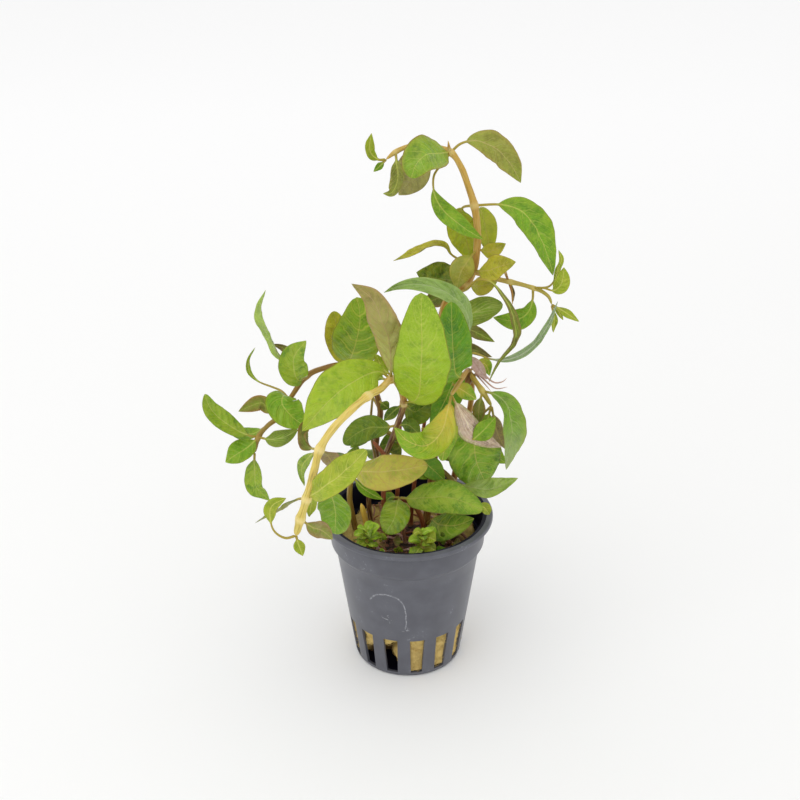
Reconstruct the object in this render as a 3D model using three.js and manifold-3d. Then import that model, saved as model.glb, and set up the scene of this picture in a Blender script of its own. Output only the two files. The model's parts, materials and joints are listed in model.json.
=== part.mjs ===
// A bunch of ludwigia cuttings in a small slotted net pot with a plug of rock wool.
// Millimetres, +Z up, origin at the middle of the pot's underside, the pot's seen front towards -Y.
import * as THREE from 'three';
import { mergeVertices } from 'three/addons/utils/BufferGeometryUtils.js';
import Module from 'manifold-3d';

const wasm = await Module();
wasm.setup();

// Driving dimensions of the pot
const potHeight = 52.5;
const rimRadius = 27.5;
const rimThickness = 1.4;
const collarRadius = 25;
const collarHeight = 11;
const bodyTopRadius = 23.4;
const bodyFootRadius = 17.6;
const footRounding = 0.9;
const wall = 1;
const potFacets = 42;

// Slots low in the pot's wall
const slotCount = 14;
const slotTurn = 8.8;
const slotLow = 1.6;
const slotHigh = 15.6;
const slotWidthLow = 3.6;
const slotWidthHigh = 4.6;

// Rock wool plug
const woolTop = 44.5;
const woolLow = 1.8;
const woolRounding = 0.6;
const woolTopRadius = 21.6;
const woolLowRadius = 16.3;
const woolFacets = 32;
const notchRight = -0.8;
const notchBack = 5;
const notchHigh = 16.5;
const notchLow = 2.5;

// Leaves and stems
const gap = 0.3;
const soilLine = woolTop + gap;
const petioleRadius = 0.45;
const bladeThickness = 0.7;
const bendSpan = 0.06; // the stretch of a midrib, as a share, over which its bend is measured
const bendShare = 0.75; // how much of a bend's radius a blade fills on its inner side
const stemSides = 6;
const stemStep = 4.7;
const nodeSwelling = 0.3;
const nodeReach = 1.6;

// Where along a blade its cross-sections lie: a whole leaf's, and a small leaf's
const leafRows = [0.08, 0.22, 0.38, 0.54, 0.7, 0.86];
const sprigRows = [0.2, 0.48, 0.76];

const colours = {
  pot: 0x4a4a50,
  wool: 0x9c8548,
  stem: 0xc08a3a,
  youngStem: 0xd9bf62,
  green: 0x6aa32c,
  lime: 0x9fc22c,
  dark: 0x3f6a22,
  olive: 0x8c8a3a,
  bronze: 0x97764f,
  tan: 0xb5a85a,
  pale: 0x8fae7a,
};

// Each stem: its path from the wool or from the node that it branches at, its thickness and
// the small leaves that are one piece with it. A path's points are also its leaf nodes.
const stems = {
  tall: {
    mesh: 'tall_stem', colour: 'stem', foot: 1.25, tip: 0.55, taper: 4, nodes: [3, 7, 11, 14, 17],
    path: [
      [6, 4, soilLine], [8, 6, 62], [9.5, 8, 82], [9.5, 9, 100], [10.5, 8.5, 113], [12, 8, 121],
      [15, 8, 124], [18, 8, 127], [20, 8, 131], [21, 8, 138], [21, 8, 144], [20, 9, 151],
      [18, 10, 157], [16, 11, 162], [13, 12, 166], [7, 13, 167.6], [1, 13, 167.6], [-3, 12.8, 166],
      [-5.8, 12, 164],
    ],
    sprigs: [
      { node: 18, path: [[-8, 12, 164], [-10, 11, 166], [-10.5, 11, 168.5], [-9.8, 11, 172]],
        width: 3.6, face: [0.5, -0.8, 0.3] },
      { node: 18, path: [[-7.5, 13, 162], [-9.5, 13.5, 160]], width: 2, face: [0.3, -0.9, 0.3] },
      { node: 11, path: [[22.2, 14, 147.5], [24.5, 16, 140], [25.5, 16.5, 133]], width: 7,
        face: [0.2, -0.9, 0.3] },
      { node: 9, path: [[18, 5, 135], [16, 3.5, 132], [15, 3.5, 127]], width: 7.5,
        face: [0, 0.9, -0.3] },
      { node: 9, path: [[25, 11.5, 136], [30, 13, 138]], width: 5, face: [0, -0.8, 0.6] },
      { node: 7, path: [[22.5, 13, 124.5], [28, 16.5, 124.5]], width: 6, face: [0, -0.9, 0.3] },
      { node: 6, path: [[10.5, 11.5, 121.5], [5, 13, 118.5]], width: 6, face: [0, -0.8, 0.6] },
      { node: 4, path: [[19, 11, 111], [27.5, 11.5, 106.5]], width: 4.4, face: [0, -0.7, 0.7] },
      { node: 3, path: [[18, 12.5, 104], [27, 13.5, 100.5]], width: 4, face: [0, -0.7, 0.7] },
      { node: 2, path: [[5, 6.5, 85.5], [-0.5, 5.5, 88.5]], width: 7, face: [0.1, -0.9, 0.3] },
      { node: 1, path: [[5.6, 3, 65], [2, 2, 64]], width: 5, face: [0, -0.8, 0.6] },
    ],
  },
  side: {
    mesh: 'side_shoot', colour: 'youngStem', foot: 0.9, tip: 0.5, nodes: [3, 5], from: ['tall', 8],
    path: [
      [24, 10, 129], [28, 11, 127.3], [31.5, 11, 126.5], [35.5, 11, 125.5], [38.5, 11, 124.5],
      [41, 11, 123.5], [43.5, 11, 121.5], [44.5, 11, 119],
    ],
    sprigs: [
      { node: 8, path: [[46.8, 9, 118.3], [52.6, 7, 115]], width: 2.6, face: [0, -0.8, 0.6] },
      { node: 8, path: [[45.2, 9.5, 115], [45, 8, 111]], width: 2.4, face: [0.3, -0.9, 0.2] },
      { node: 8, path: [[46.4, 12, 117], [48.4, 12, 113.5]], width: 1.8, face: [0, -0.9, 0.3] },
      { node: 5, path: [[43, 11, 124.8], [44.6, 10, 127], [45.6, 10, 131], [46.4, 10, 134],
        [45.5, 10, 137]], width: 2.4, face: [0.5, -0.8, 0.2], petiole: 0.4 },
      { node: 3, path: [[32.5, 12, 123], [32.8, 12.5, 119.5]], width: 1.2, face: [0, -1, 0] },
    ],
  },
  front: {
    mesh: 'front_stem', colour: 'stem', foot: 0.85, tip: 1.15, nodes: [5, 7, 9, 12, 14, 15],
    path: [
      [-12, 6, soilLine], [-12.5, 5, 55], [-9, 3, 66], [-5.5, 0, 76.5], [-3, -4, 85.5],
      [-1, -8, 95], [-2.5, -14, 104], [-4.5, -18, 107.5], [-7.5, -24, 107.2], [-11, -30, 107.8],
      [-16, -36.4, 106], [-20.5, -40, 102.5], [-24, -41.8, 97.3], [-25.5, -43, 92], [-28, -44, 83],
      [-30, -44, 76.5], [-31.5, -44, 71],
    ],
    sprigs: [
      { node: 16, path: [[-31, -44, 68.5], [-29.8, -44.5, 64.5]], width: 3.4, face: [0.2, -0.9, 0.3] },
      { node: 16, path: [[-34.5, -44, 70.2], [-37.5, -43.5, 72], [-38.6, -43, 76], [-38, -42, 79.5],
        [-34, -41, 81.5]], width: 4, face: [-0.3, -0.8, 0.4], petiole: 0.5 },
      { node: 15, path: [[-27, -42, 72.5], [-24.5, -40.5, 70.5], [-21.5, -39, 66.5]], width: 5,
        face: [0, -0.8, 0.5] },
      { node: 14, path: [[-27, -40.5, 80], [-28, -39, 74]], width: 3.4, face: [0.4, -0.8, 0.2] },
      { node: 14, path: [[-31, -40, 80.5], [-37, -34, 73.5], [-45, -30, 66.5]], width: 4.6,
        face: [-0.2, 0.4, 0.8] },
      { node: 12, path: [[-22, -36.5, 92.5], [-20, -33, 83.5]], width: 5.4, face: [0.2, 0.9, -0.2] },
      { node: 12, path: [[-27.5, -37.5, 92.5], [-30, -35, 87.5], [-29.5, -33.5, 81]], width: 3.4,
        face: [-0.4, -0.8, 0.2] },
      { node: 5, path: [[-4, -9.5, 93], [-7, -9, 89.5]], width: 3.4, face: [0, -0.9, 0.3] },
      { node: 4, path: [[0.6, -7.5, 87.2], [4.2, -10, 84.6]], width: 5.2, face: [0.1, -0.9, 0.4] },
    ],
  },
  left: {
    mesh: 'left_stem', colour: 'stem', foot: 1.15, tip: 0.7, nodes: [6, 8, 10, 12],
    path: [
      [-4, 12, soilLine], [-7.5, 12, 57], [-10, 11.5, 66], [-9.7, 11, 75.5], [-8.5, 10, 83.5],
      [-11, 9, 93], [-18.5, 7.5, 100.5], [-26.5, 5, 100.5], [-31, 4, 98.5], [-36.5, 3, 91],
      [-40, 2, 85.5], [-43.5, 1, 83], [-46.5, 0, 79.5], [-48, 0, 74],
    ],
    sprigs: [
      { node: 9, path: [[-39, 5, 93], [-42, 6, 94], [-46.3, 6, 96], [-48.8, 6, 99], [-49, 6, 103],
        [-46.5, 6, 107.5]], width: 1.5, face: [0.6, -0.7, 0.2], petiole: 0.45 },
      { node: 10, path: [[-43.5, 5, 86.5], [-45.5, 6, 88.5], [-49, 6, 87.5], [-53, 5, 86]], width: 5,
        face: [0, -0.9, 0.4] },
      { node: 11, path: [[-49.5, 4, 78.5], [-57.5, 5, 79]], width: 4.4, face: [0, -0.6, 0.8] },
      { node: 12, path: [[-42, -3, 80.2], [-38, -4, 81.5], [-33.5, -3.5, 84]], width: 5.4,
        face: [0, -0.8, 0.6] },
      { node: 8, path: [[-34.5, 8, 103], [-38.5, 9, 106], [-42, 9, 107.3]], width: 2.8,
        face: [0.2, -0.9, 0.3] },
      { node: 4, path: [[-12, 14, 88], [-18, 19, 91], [-25, 23, 89.5]], width: 8,
        face: [-0.2, 0, 1] },
      { node: 2, path: [[-9.5, 17, 62], [-10, 22, 63], [-12, 28, 59]], width: 8, face: [0, 0, 1] },
    ],
  },
  lowRight: {
    mesh: 'low_right_stem', colour: 'stem', foot: 1.15, tip: 0.7, nodes: [2, 4, 6],
    path: [
      [13, 9, soilLine], [16, 11, 62], [19.5, 11, 80], [20.5, 9, 92], [19, 5, 99.5],
      [16.5, -5, 101.5], [13, -14, 100.5],
    ],
    sprigs: [
      { node: 1, path: [[20, 8, 66.5], [26.5, 7, 69.5], [32, 6, 66.5]], width: 8,
        face: [0, -0.8, 0.5] },
      { node: 2, path: [[22, 15, 77], [26, 21, 76], [29, 26, 71]], width: 8, face: [0, -0.2, 1] },
      { node: 4, path: [[24, 7.5, 101], [26, 8, 96.5]], width: 3.6, face: [0.2, -0.9, 0.2] },
      { node: 1, path: [[13, 13.5, 67.5], [8.5, 15, 68]], width: 7, face: [0, -0.8, 0.6] },
    ],
  },
  lowShoot: {
    mesh: 'low_right_shoot', colour: 'youngStem', foot: 0.9, tip: 0.7, nodes: [1],
    from: ['lowRight', 4],
    path: [[23, -2, 96], [26, -1, 90.5]],
    sprigs: [
      { node: 1, path: [[22, -5, 92.5], [21.7, -6, 86.5]], width: 4, face: [0, -0.9, 0.3] },
      { node: 2, path: [[23.7, -3, 84], [19.7, -4, 80]], width: 6.4, face: [0, -0.8, 0.5] },
      { node: 2, path: [[28.3, 1.1, 80], [31, 1.6, 74]], width: 4.6, face: [0, 0.9, -0.3] },
    ],
  },
  leaning: {
    mesh: 'leaning_stem', colour: 'stem', foot: 1, tip: 0.7, nodes: [1, 4],
    path: [
      [16, 5, soilLine], [14.5, 4, 61], [5, 4.5, 69.5], [-2, 5, 75.5], [-8, 5.5, 79.5],
    ],
    sprigs: [
      { node: 4, path: [[-12, 4, 79.5], [-18, 3, 74]], width: 5, face: [0, -0.8, 0.5] },
      { node: 3, path: [[-4, 8, 73.5], [-9, 8.5, 71.5]], width: 6.4, face: [0, -0.8, 0.5] },
      { node: 2, path: [[3.5, 8.5, 71.5], [2, 10, 76]], width: 5.4, face: [0, -0.9, 0.3] },
    ],
  },
  shortLeft: {
    mesh: 'short_left_stem', colour: 'stem', foot: 1, tip: 0.8, nodes: [2],
    path: [[-17, 2, soilLine], [-18.5, 0, 57], [-17.5, -3, 68]],
    sprigs: [
      { node: 2, path: [[-15, -5, 65], [-11.7, -6.5, 63], [-7.5, -8, 61.5]], width: 3.4,
        face: [0, -0.7, 0.7] },
      { node: 2, path: [[-21, 1, 71], [-26, 6, 70]], width: 6, face: [0, 0, 1] },
      { node: 2, path: [[-17, -1, 72], [-15.5, 1, 76]], width: 5, face: [0, -0.9, 0.3] },
    ],
  },
  arc: {
    mesh: 'arched_stem', colour: 'stem', foot: 0.8, tip: 0.8, nodes: [3],
    path: [[5.4, -1, soilLine], [4.6, -1.2, 50], [1.8, -1.3, 55.8], [-2.4, -1.5, 58.3]],
    sprigs: [
      { node: 3, path: [[-5.5, 0, 57.5], [-8, 1, 53.5]], width: 4.4, face: [0, -0.7, 0.7] },
    ],
  },
};

// Each leaf: the stem and node that it grows at, the points that its midrib runs through after
// the node, the blade's width and the way that its upper side faces.
const leaves = [
  { mesh: 'crown_leaf_left', stem: 'tall', node: 14, colour: 'green', width: 11.5, round: true,
    face: [0.05, -0.75, 0.65], petiole: 0.08,
    path: [[9, 8, 166.6], [5.5, 4, 167], [2.8, 1.5, 165], [1.5, 0.5, 161.5]] },
  { mesh: 'crown_leaf_right', stem: 'tall', node: 14, colour: 'olive', width: 9,
    face: [0.2, -0.8, 0.55],
    path: [[16, 13, 168.3], [20.5, 14, 168.8], [26.5, 15, 166], [31.2, 15, 161], [34, 15, 156]] },
  { mesh: 'crown_leaf_under', stem: 'tall', node: 16, colour: 'bronze', width: 10.4,
    face: [0.2, 0.9, -0.2], petiole: 0.15,
    path: [[2, 16, 163.5], [2, 16, 158.5], [0.2, 15, 155.2], [-2.2, 14, 152.8]] },
  { mesh: 'crown_leaf_hanging', stem: 'tall', node: 17, colour: 'lime', width: 4.4,
    face: [-0.3, -0.9, 0.2], petiole: 0.15,
    path: [[-2.6, 10.5, 163], [-2.3, 9, 160], [-3.2, 8.5, 156.5], [-4.4, 8.5, 155], [-6.7, 8, 155]] },
  { mesh: 'crown_leaf_long', stem: 'tall', node: 14, colour: 'green', width: 5.6,
    face: [-0.3, -0.75, 0.6], petiole: 0.38,
    path: [[9.8, 8, 163], [8, 6, 160.5], [8.3, 4.5, 155.5], [11, 3.5, 151], [16.5, 2.5, 146.5],
      [22.5, 3, 142.5]] },
  { mesh: 'upper_leaf_right', stem: 'tall', node: 11, colour: 'green', width: 10,
    face: [0.4, -0.8, 0.4], petiole: 0.2,
    path: [[28, 11, 150.6], [33.5, 11, 149], [37.2, 10, 145.5], [39.8, 9, 141], [42, 8.5, 136],
      [44, 8, 129.5]] },
  { mesh: 'upper_leaf_back', stem: 'tall', node: 11, colour: 'olive', width: 9.4,
    face: [0, -0.9, 0.4], petiole: 0.2,
    path: [[16.8, 12, 149.5], [16.2, 15, 145], [18.2, 17, 138], [20.3, 17.5, 130]] },
  { mesh: 'narrow_leaf_left', stem: 'tall', node: 8, colour: 'olive', width: 4.2,
    face: [0, -0.2, 1], petiole: 0.3,
    path: [[17, 11, 133], [13.8, 12, 134.8], [12, 12, 137.3], [8.7, 11, 138.5], [2.4, 10, 136.3],
      [-4, 9, 134]] },
  { mesh: 'dark_leaf_left', stem: 'tall', node: 7, colour: 'dark', width: 10.5,
    face: [0, -0.85, 0.5], petiole: 0.2,
    path: [[14.8, 12, 126.5], [10, 13, 127], [6.5, 12.5, 128], [3, 11.5, 129.5]] },
  { mesh: 'olive_leaf_right', stem: 'tall', node: 8, colour: 'olive', width: 7.5,
    face: [-0.1, -0.8, 0.6], petiole: 0.15,
    path: [[24, 4.5, 132.5], [27.5, 2.5, 134.5], [32, 0.5, 136.5]] },
  { mesh: 'ribbon_leaf_bronze', stem: 'tall', node: 6, colour: 'bronze', width: 2.6,
    face: [0.6, -0.7, 0.3], petiole: 0.3,
    path: [[18, 3.5, 127], [21, 0.5, 131], [24.5, -1, 131], [28.5, -1.5, 126.5], [31.5, -1.5, 121],
      [32.5, -1.5, 116], [31.5, -1, 111], [28, -0.5, 105.5], [25, 0, 98]] },
  { mesh: 'ribbon_leaf_pale', stem: 'tall', node: 3, colour: 'pale', width: 2.6,
    face: [-0.5, -0.8, 0.3], petiole: 0.4,
    path: [[15, 5.5, 104.5], [20.5, 3, 106.5], [25.5, 3, 104.5], [30.5, 3.5, 104], [36, 4, 106],
      [40.3, 4, 110.5], [43.3, 4, 116.5], [45.4, 4, 123]] },
  { mesh: 'striped_leaf', stem: 'tall', node: 4, colour: 'green', width: 8, round: true,
    face: [0, -0.9, 0.45], petiole: 0.25,
    path: [[15, 6, 115.5], [19.5, 5, 118.5], [24.5, 5, 120.5], [29, 5, 121.5]] },
  { mesh: 'arching_leaf', stem: 'tall', node: 3, colour: 'pale', width: 5.4,
    face: [0.6, -0.75, 0.3], petiole: 0.4,
    path: [[15, 0, 106], [18.3, -7, 117.5], [17, -11, 126], [12.5, -13, 131.5], [7, -14, 134.5],
      [1.5, -14.5, 135.3], [-3, -14.5, 134.5], [-6.5, -14, 132.5]] },

  { mesh: 'side_leaf_hanging', stem: 'side', node: 5, colour: 'green', width: 6.4,
    face: [0.2, -0.9, 0.3], petiole: 0.2,
    path: [[38.5, 11, 120.5], [37, 10, 116.5], [33, 9.5, 114.5], [26.5, 9.5, 115.5]] },
  { mesh: 'side_leaf_lime', stem: 'side', node: 5, colour: 'lime', width: 5.2,
    face: [0.1, -0.9, 0.4], petiole: 0.42,
    path: [[41.5, 9, 125.2], [44.3, 7.4, 125], [46.1, 6.8, 126.8], [46.8, 6.8, 129.4],
      [47, 7, 132.5]] },

  { mesh: 'front_leaf_large', stem: 'front', node: 5, colour: 'lime', width: 16, round: true,
    face: [0, -1, -0.1], petiole: 0.1,
    path: [[3, -16, 100.5], [4, -24.5, 114], [4.2, -28, 123.5], [4, -28, 130.5], [4, -26, 137]] },
  { mesh: 'front_leaf_bronze', stem: 'front', node: 7, colour: 'bronze', width: 9.5,
    face: [0.3, 0.9, -0.3], petiole: 0.1,
    path: [[-4.5, -20.5, 112], [-4.7, -22, 119.8], [-6.8, -25, 128.7], [-9.4, -25, 135],
      [-15, -24, 139]] },
  { mesh: 'front_leaf_left', stem: 'front', node: 7, colour: 'lime', width: 14.2,
    face: [-0.1, -0.85, 0.5], petiole: 0.08,
    path: [[-8, -18.8, 110.3], [-14.5, -23.8, 109.8], [-21, -28.8, 106.8], [-29.5, -33, 98.4]] },
  { mesh: 'front_leaf_low', stem: 'front', node: 14, colour: 'lime', width: 8.6, round: true,
    face: [-0.3, -0.7, 0.6], petiole: 0.1,
    path: [[-23.2, -48, 88.7], [-18, -49, 93.5], [-14, -48, 97], [-11, -46, 99.5]] },
  { mesh: 'front_leaf_rim', stem: 'front', node: 14, colour: 'green', width: 10.2, round: true,
    face: [-0.2, -0.9, 0.3], petiole: 0.34,
    path: [[-25, -40, 83], [-22, -35, 79], [-21, -32, 71], [-21.5, -29, 62]] },
  { mesh: 'rolled_leaf', stem: 'front', node: 12, colour: 'olive', width: 4,
    face: [-0.5, -0.8, 0.2], petiole: 0.25,
    path: [[-27.2, -37, 95.5], [-28.2, -33.5, 96], [-28.2, -31, 98], [-26, -29, 102]] },
  { mesh: 'centre_leaf_dark', stem: 'front', node: 4, colour: 'dark', width: 8, round: true,
    face: [0, -0.85, 0.5], petiole: 0.15,
    path: [[-7, -1.5, 83.5], [-11.5, -0.5, 83], [-16.3, 0.5, 80], [-20, 1, 76.5]] },
  { mesh: 'centre_leaf_small', stem: 'front', node: 5, colour: 'dark', width: 8.6,
    face: [0, -0.9, 0.4], petiole: 0.15,
    path: [[2.4, -4.6, 90.4], [5, -2.2, 90.8], [8.4, -0.8, 93]] },

  { mesh: 'left_leaf_round', stem: 'left', node: 6, colour: 'green', width: 14.5, round: true,
    face: [0, -0.95, 0.3], petiole: 0.08,
    path: [[-17.5, 3, 104], [-15, -2, 113], [-13.7, -4, 121], [-14.5, -4, 127.5]] },
  { mesh: 'left_leaf_olive', stem: 'left', node: 6, colour: 'olive', width: 8, round: true,
    face: [0, -0.95, 0.2], petiole: 0.08,
    path: [[-20.4, 10, 103], [-21.3, 10.5, 109.5], [-22.3, 10.5, 117.5]] },
  { mesh: 'left_leaf_upright', stem: 'left', node: 8, colour: 'green', width: 9.2,
    face: [-0.1, -0.9, 0.4], petiole: 0.15,
    path: [[-33, 0, 99], [-34, -2, 103], [-33.8, -2.5, 108], [-30, -2, 113]] },
  { mesh: 'left_leaf_middle', stem: 'left', node: 9, colour: 'green', width: 10.6,
    round: true, face: [0.1, -0.6, 0.75], petiole: 0.2,
    path: [[-37.8, -1.5, 94.4], [-38, -4.8, 93.4], [-35.6, -6.6, 90.6], [-31.4, -7.2, 87.2]] },
  { mesh: 'left_leaf_tall', stem: 'left', node: 8, colour: 'pale', width: 5,
    face: [-0.75, -0.6, 0.2], petiole: 0.2,
    path: [[-36, 4.5, 102], [-39, 4.5, 105], [-41.3, 4, 110], [-43.3, 4, 115.5], [-44, 4, 121],
      [-42, 4, 127]] },
  { mesh: 'left_leaf_outer', stem: 'left', node: 12, colour: 'green', width: 6, round: true,
    face: [0.1, -0.75, 0.65], petiole: 0.15,
    path: [[-49.5, -1, 80.7], [-52.6, -1.4, 82.6], [-57, -1.8, 86.2], [-60.4, -2.2, 90.8],
      [-61.6, -2.6, 95.8]] },
  { mesh: 'left_leaf_cup', stem: 'left', node: 12, colour: 'green', width: 7.2,
    face: [0, -0.8, 0.6], petiole: 0.1,
    path: [[-49.5, -1.5, 77], [-53, -2.5, 75], [-57, -2.5, 72]] },
  { mesh: 'left_leaf_hanging', stem: 'left', node: 13, colour: 'green', width: 7,
    face: [-0.4, -0.85, 0.2], petiole: 0.12,
    path: [[-48.3, -1, 68.5], [-47.8, -1.5, 62.5], [-44, -1, 57]] },

  { mesh: 'right_leaf_broad', stem: 'lowRight', node: 5, colour: 'green', width: 11.5, round: true,
    face: [0.1, -0.95, 0.3], petiole: 0.1,
    path: [[14.2, -12, 107], [13.3, -17, 116], [12.8, -18.5, 124], [12.5, -18.5, 131.5]] },
  { mesh: 'right_leaf_pink', stem: 'lowRight', node: 6, colour: 'bronze', width: 7.6,
    face: [-0.5, 0.8, -0.4], petiole: 0.1,
    path: [[15, -14, 96.5], [18.5, -12.5, 89.5], [23.5, -10, 84], [29, -7.5, 79.5]] },
  { mesh: 'right_leaf_yellow', stem: 'lowRight', node: 6, colour: 'lime', width: 6.4, round: true,
    face: [0.1, -0.95, 0.2], petiole: 0.12,
    path: [[12.4, -14.6, 96], [11.6, -14.4, 87.2], [10.6, -14, 78.4]] },
  { mesh: 'right_leaf_curling', stem: 'lowRight', node: 6, colour: 'lime', width: 9.4,
    face: [-0.2, -0.75, 0.65], petiole: 0.12,
    path: [[11.9, -18.5, 97.4], [10, -21.5, 92], [5.8, -24.4, 89.2], [0.6, -26.3, 91.4],
      [-3.7, -27, 96.5]] },
  { mesh: 'right_leaf_folded', stem: 'lowShoot', node: 1, colour: 'green', width: 8.2,
    face: [0.4, -0.8, 0.4], petiole: 0.08,
    path: [[26.4, -4, 96], [29.2, -4, 94], [31.2, -4, 90.4], [32.2, -3, 83.5], [32, -2, 76],
      [31.2, -1, 68]] },
  { mesh: 'right_leaf_ribbed', stem: 'lowShoot', node: 2, colour: 'dark', width: 17.5, round: true,
    face: [0.1, -0.9, 0.45], petiole: 0.25,
    path: [[23, 4, 84], [21.5, 3.7, 79], [21.5, 2.4, 71.5], [23.5, 4, 64.5], [25.3, 5.6, 59.6]] },

  { mesh: 'tan_leaf', stem: 'shortLeft', node: 2, colour: 'tan', width: 11.2, round: true,
    face: [0, 0.75, -0.65], petiole: 0.12,
    path: [[-14, -8, 71.5], [-8.3, -12, 73.5], [-0.7, -13, 75], [6.3, -12, 76]] },
  { mesh: 'rim_leaf_variegated', stem: 'arc', node: 3, colour: 'green', width: 10.5, round: true,
    face: [0, -0.7, 0.7], petiole: 0.1,
    path: [[0.8, -4, 59.5], [5.5, -7, 61.5], [12, -9, 62.8], [18, -10, 61.5], [23.6, -10, 58.6]] },
  { mesh: 'rim_leaf_pale', stem: 'leaning', node: 1, colour: 'pale', width: 7,
    face: [0, -0.5, 0.85], petiole: 0.2,
    path: [[20, -1.5, 62], [26, -3.5, 62.5], [30.5, -4.5, 64.8], [34.7, -5, 67.3]] },
  { mesh: 'pot_leaf_front', stem: 'arc', node: 3, colour: 'green', width: 9.6, round: true,
    face: [-0.2, -0.8, 0.6], petiole: 0.1,
    path: [[-3.3, -5, 57.5], [-4, -8, 55], [-7, -10.5, 50.5]] },
  { mesh: 'pot_leaf_right', stem: 'tall', node: 0, colour: 'dark', width: 11.6,
    face: [-0.3, -0.5, 0.8], petiole: 0.25,
    path: [[8, 0, 49], [10.2, -5, 50.4], [15, -8, 51.8], [21, -8.6, 54.8]] },
];

// Plantlets that sprout low in the pot: where each stands, and its height, spread and leaf pairs
const plantlets = [
  { mesh: 'plantlet_left', at: [-13, -11.5], height: 8.5, spread: 5, pairs: 3, turn: 20 },
  { mesh: 'plantlet_front', at: [4.4, -14.5], height: 9.5, spread: 5.4, pairs: 3, turn: 65 },
];

function vector(point) {
  return new THREE.Vector3(...point);
}

// A closed solid through a row of rings; each ring has the same number of corners
function loft(rings, firstPoint, lastPoint) {
  const sides = rings[0].length;
  const corners = [firstPoint, ...rings.flat(), lastPoint];
  const triangles = [];
  const corner = (ring, side) => 1 + ring * sides + (side % sides);
  for (let side = 0; side < sides; side += 1) {
    triangles.push(0, corner(0, side + 1), corner(0, side));
    for (let ring = 0; ring + 1 < rings.length; ring += 1) {
      const a = corner(ring, side);
      const b = corner(ring, side + 1);
      const c = corner(ring + 1, side + 1);
      const d = corner(ring + 1, side);
      triangles.push(a, b, c, a, c, d);
    }
    const last = rings.length - 1;
    triangles.push(corners.length - 1, corner(last, side), corner(last, side + 1));
  }
  const geometry = new THREE.BufferGeometry();
  const positions = corners.flatMap((point) => point.toArray());
  geometry.setAttribute('position', new THREE.Float32BufferAttribute(positions, 3));
  geometry.setIndex(triangles);
  return geometry;
}

function solidFrom(geometry) {
  const bare = geometry.clone();
  bare.deleteAttribute('normal');
  bare.deleteAttribute('uv');
  const merged = mergeVertices(bare, 1e-4);
  return new wasm.Manifold(new wasm.Mesh({
    numProp: 3,
    vertProperties: new Float32Array(merged.attributes.position.array),
    triVerts: new Uint32Array(merged.index.array),
  }));
}

function geometryFrom(solid) {
  const mesh = solid.getMesh();
  const geometry = new THREE.BufferGeometry();
  geometry.setAttribute('position', new THREE.BufferAttribute(mesh.vertProperties, 3));
  geometry.setIndex(new THREE.BufferAttribute(mesh.triVerts, 1));
  return geometry;
}

function stemPoints(stem) {
  const start = stem.from ? [stems[stem.from[0]].path[stem.from[1]]] : [];
  return [...start, ...stem.path].map(vector);
}

function stemRadius(stem, share) {
  return THREE.MathUtils.lerp(stem.foot, stem.tip, share ** (stem.taper ?? 1));
}

// The stem is a tapering rod, a little swollen at its leaf nodes
function stemSolid(stem) {
  const points = stemPoints(stem);
  const curve = new THREE.CatmullRomCurve3(points, false, 'centripetal');
  const length = curve.getLength();
  const nodePlaces = stem.nodes.map((node) => points[node]);
  const start = stem.from ? (stemRadius(stems[stem.from[0]], 0.5) + gap + stem.foot / 2) / length : 0;
  const steps = Math.max(3, Math.round((1 - start) * length / stemStep));
  const rings = [];
  for (let step = 0; step <= steps; step += 1) {
    const share = start + (1 - start) * step / steps;
    const centre = curve.getPointAt(share);
    const along = curve.getTangentAt(share);
    const nearest = Math.min(...nodePlaces.map((place) => place.distanceTo(centre)));
    const swelling = 1 + nodeSwelling * Math.max(0, 1 - nearest / nodeReach);
    const radius = stemRadius(stem, share) * swelling;
    const flat = step === 0 && !stem.from;
    const across = new THREE.Vector3(0, 1, 0).cross(along).normalize();
    if (flat) {
      across.setZ(0).normalize();
    }
    const over = (flat ? new THREE.Vector3(0, 0, 1) : along).clone().cross(across).normalize();
    rings.push(Array.from({ length: stemSides }, (_, side) => {
      const turn = 2 * Math.PI * side / stemSides;
      return centre.clone()
        .addScaledVector(across, radius * Math.cos(turn))
        .addScaledVector(over, radius * Math.sin(turn));
    }));
  }
  return loft(rings, curve.getPointAt(start), curve.getPointAt(1));
}

// Half the blade's width along it, widest before the middle: with a drawn-out tip, or rounded
function bladeShape(share, round) {
  return round
    ? Math.sin(Math.PI * share ** 0.95) ** 0.55
    : Math.sin(Math.PI * share ** 0.84) ** 0.9;
}

// The blade's reach on one side of its midrib: inside a bend it is no wider than the bend's radius
function bladeReach(curve, place, side, half) {
  const before = curve.getTangentAt(Math.max(0, place - bendSpan));
  const after = curve.getTangentAt(Math.min(1, place + bendSpan));
  const bend = after.sub(before).dot(side) / (2 * bendSpan * curve.getLength());
  return bend > 0 ? Math.max(petioleRadius, Math.min(half, bendShare / bend)) : half;
}

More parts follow.
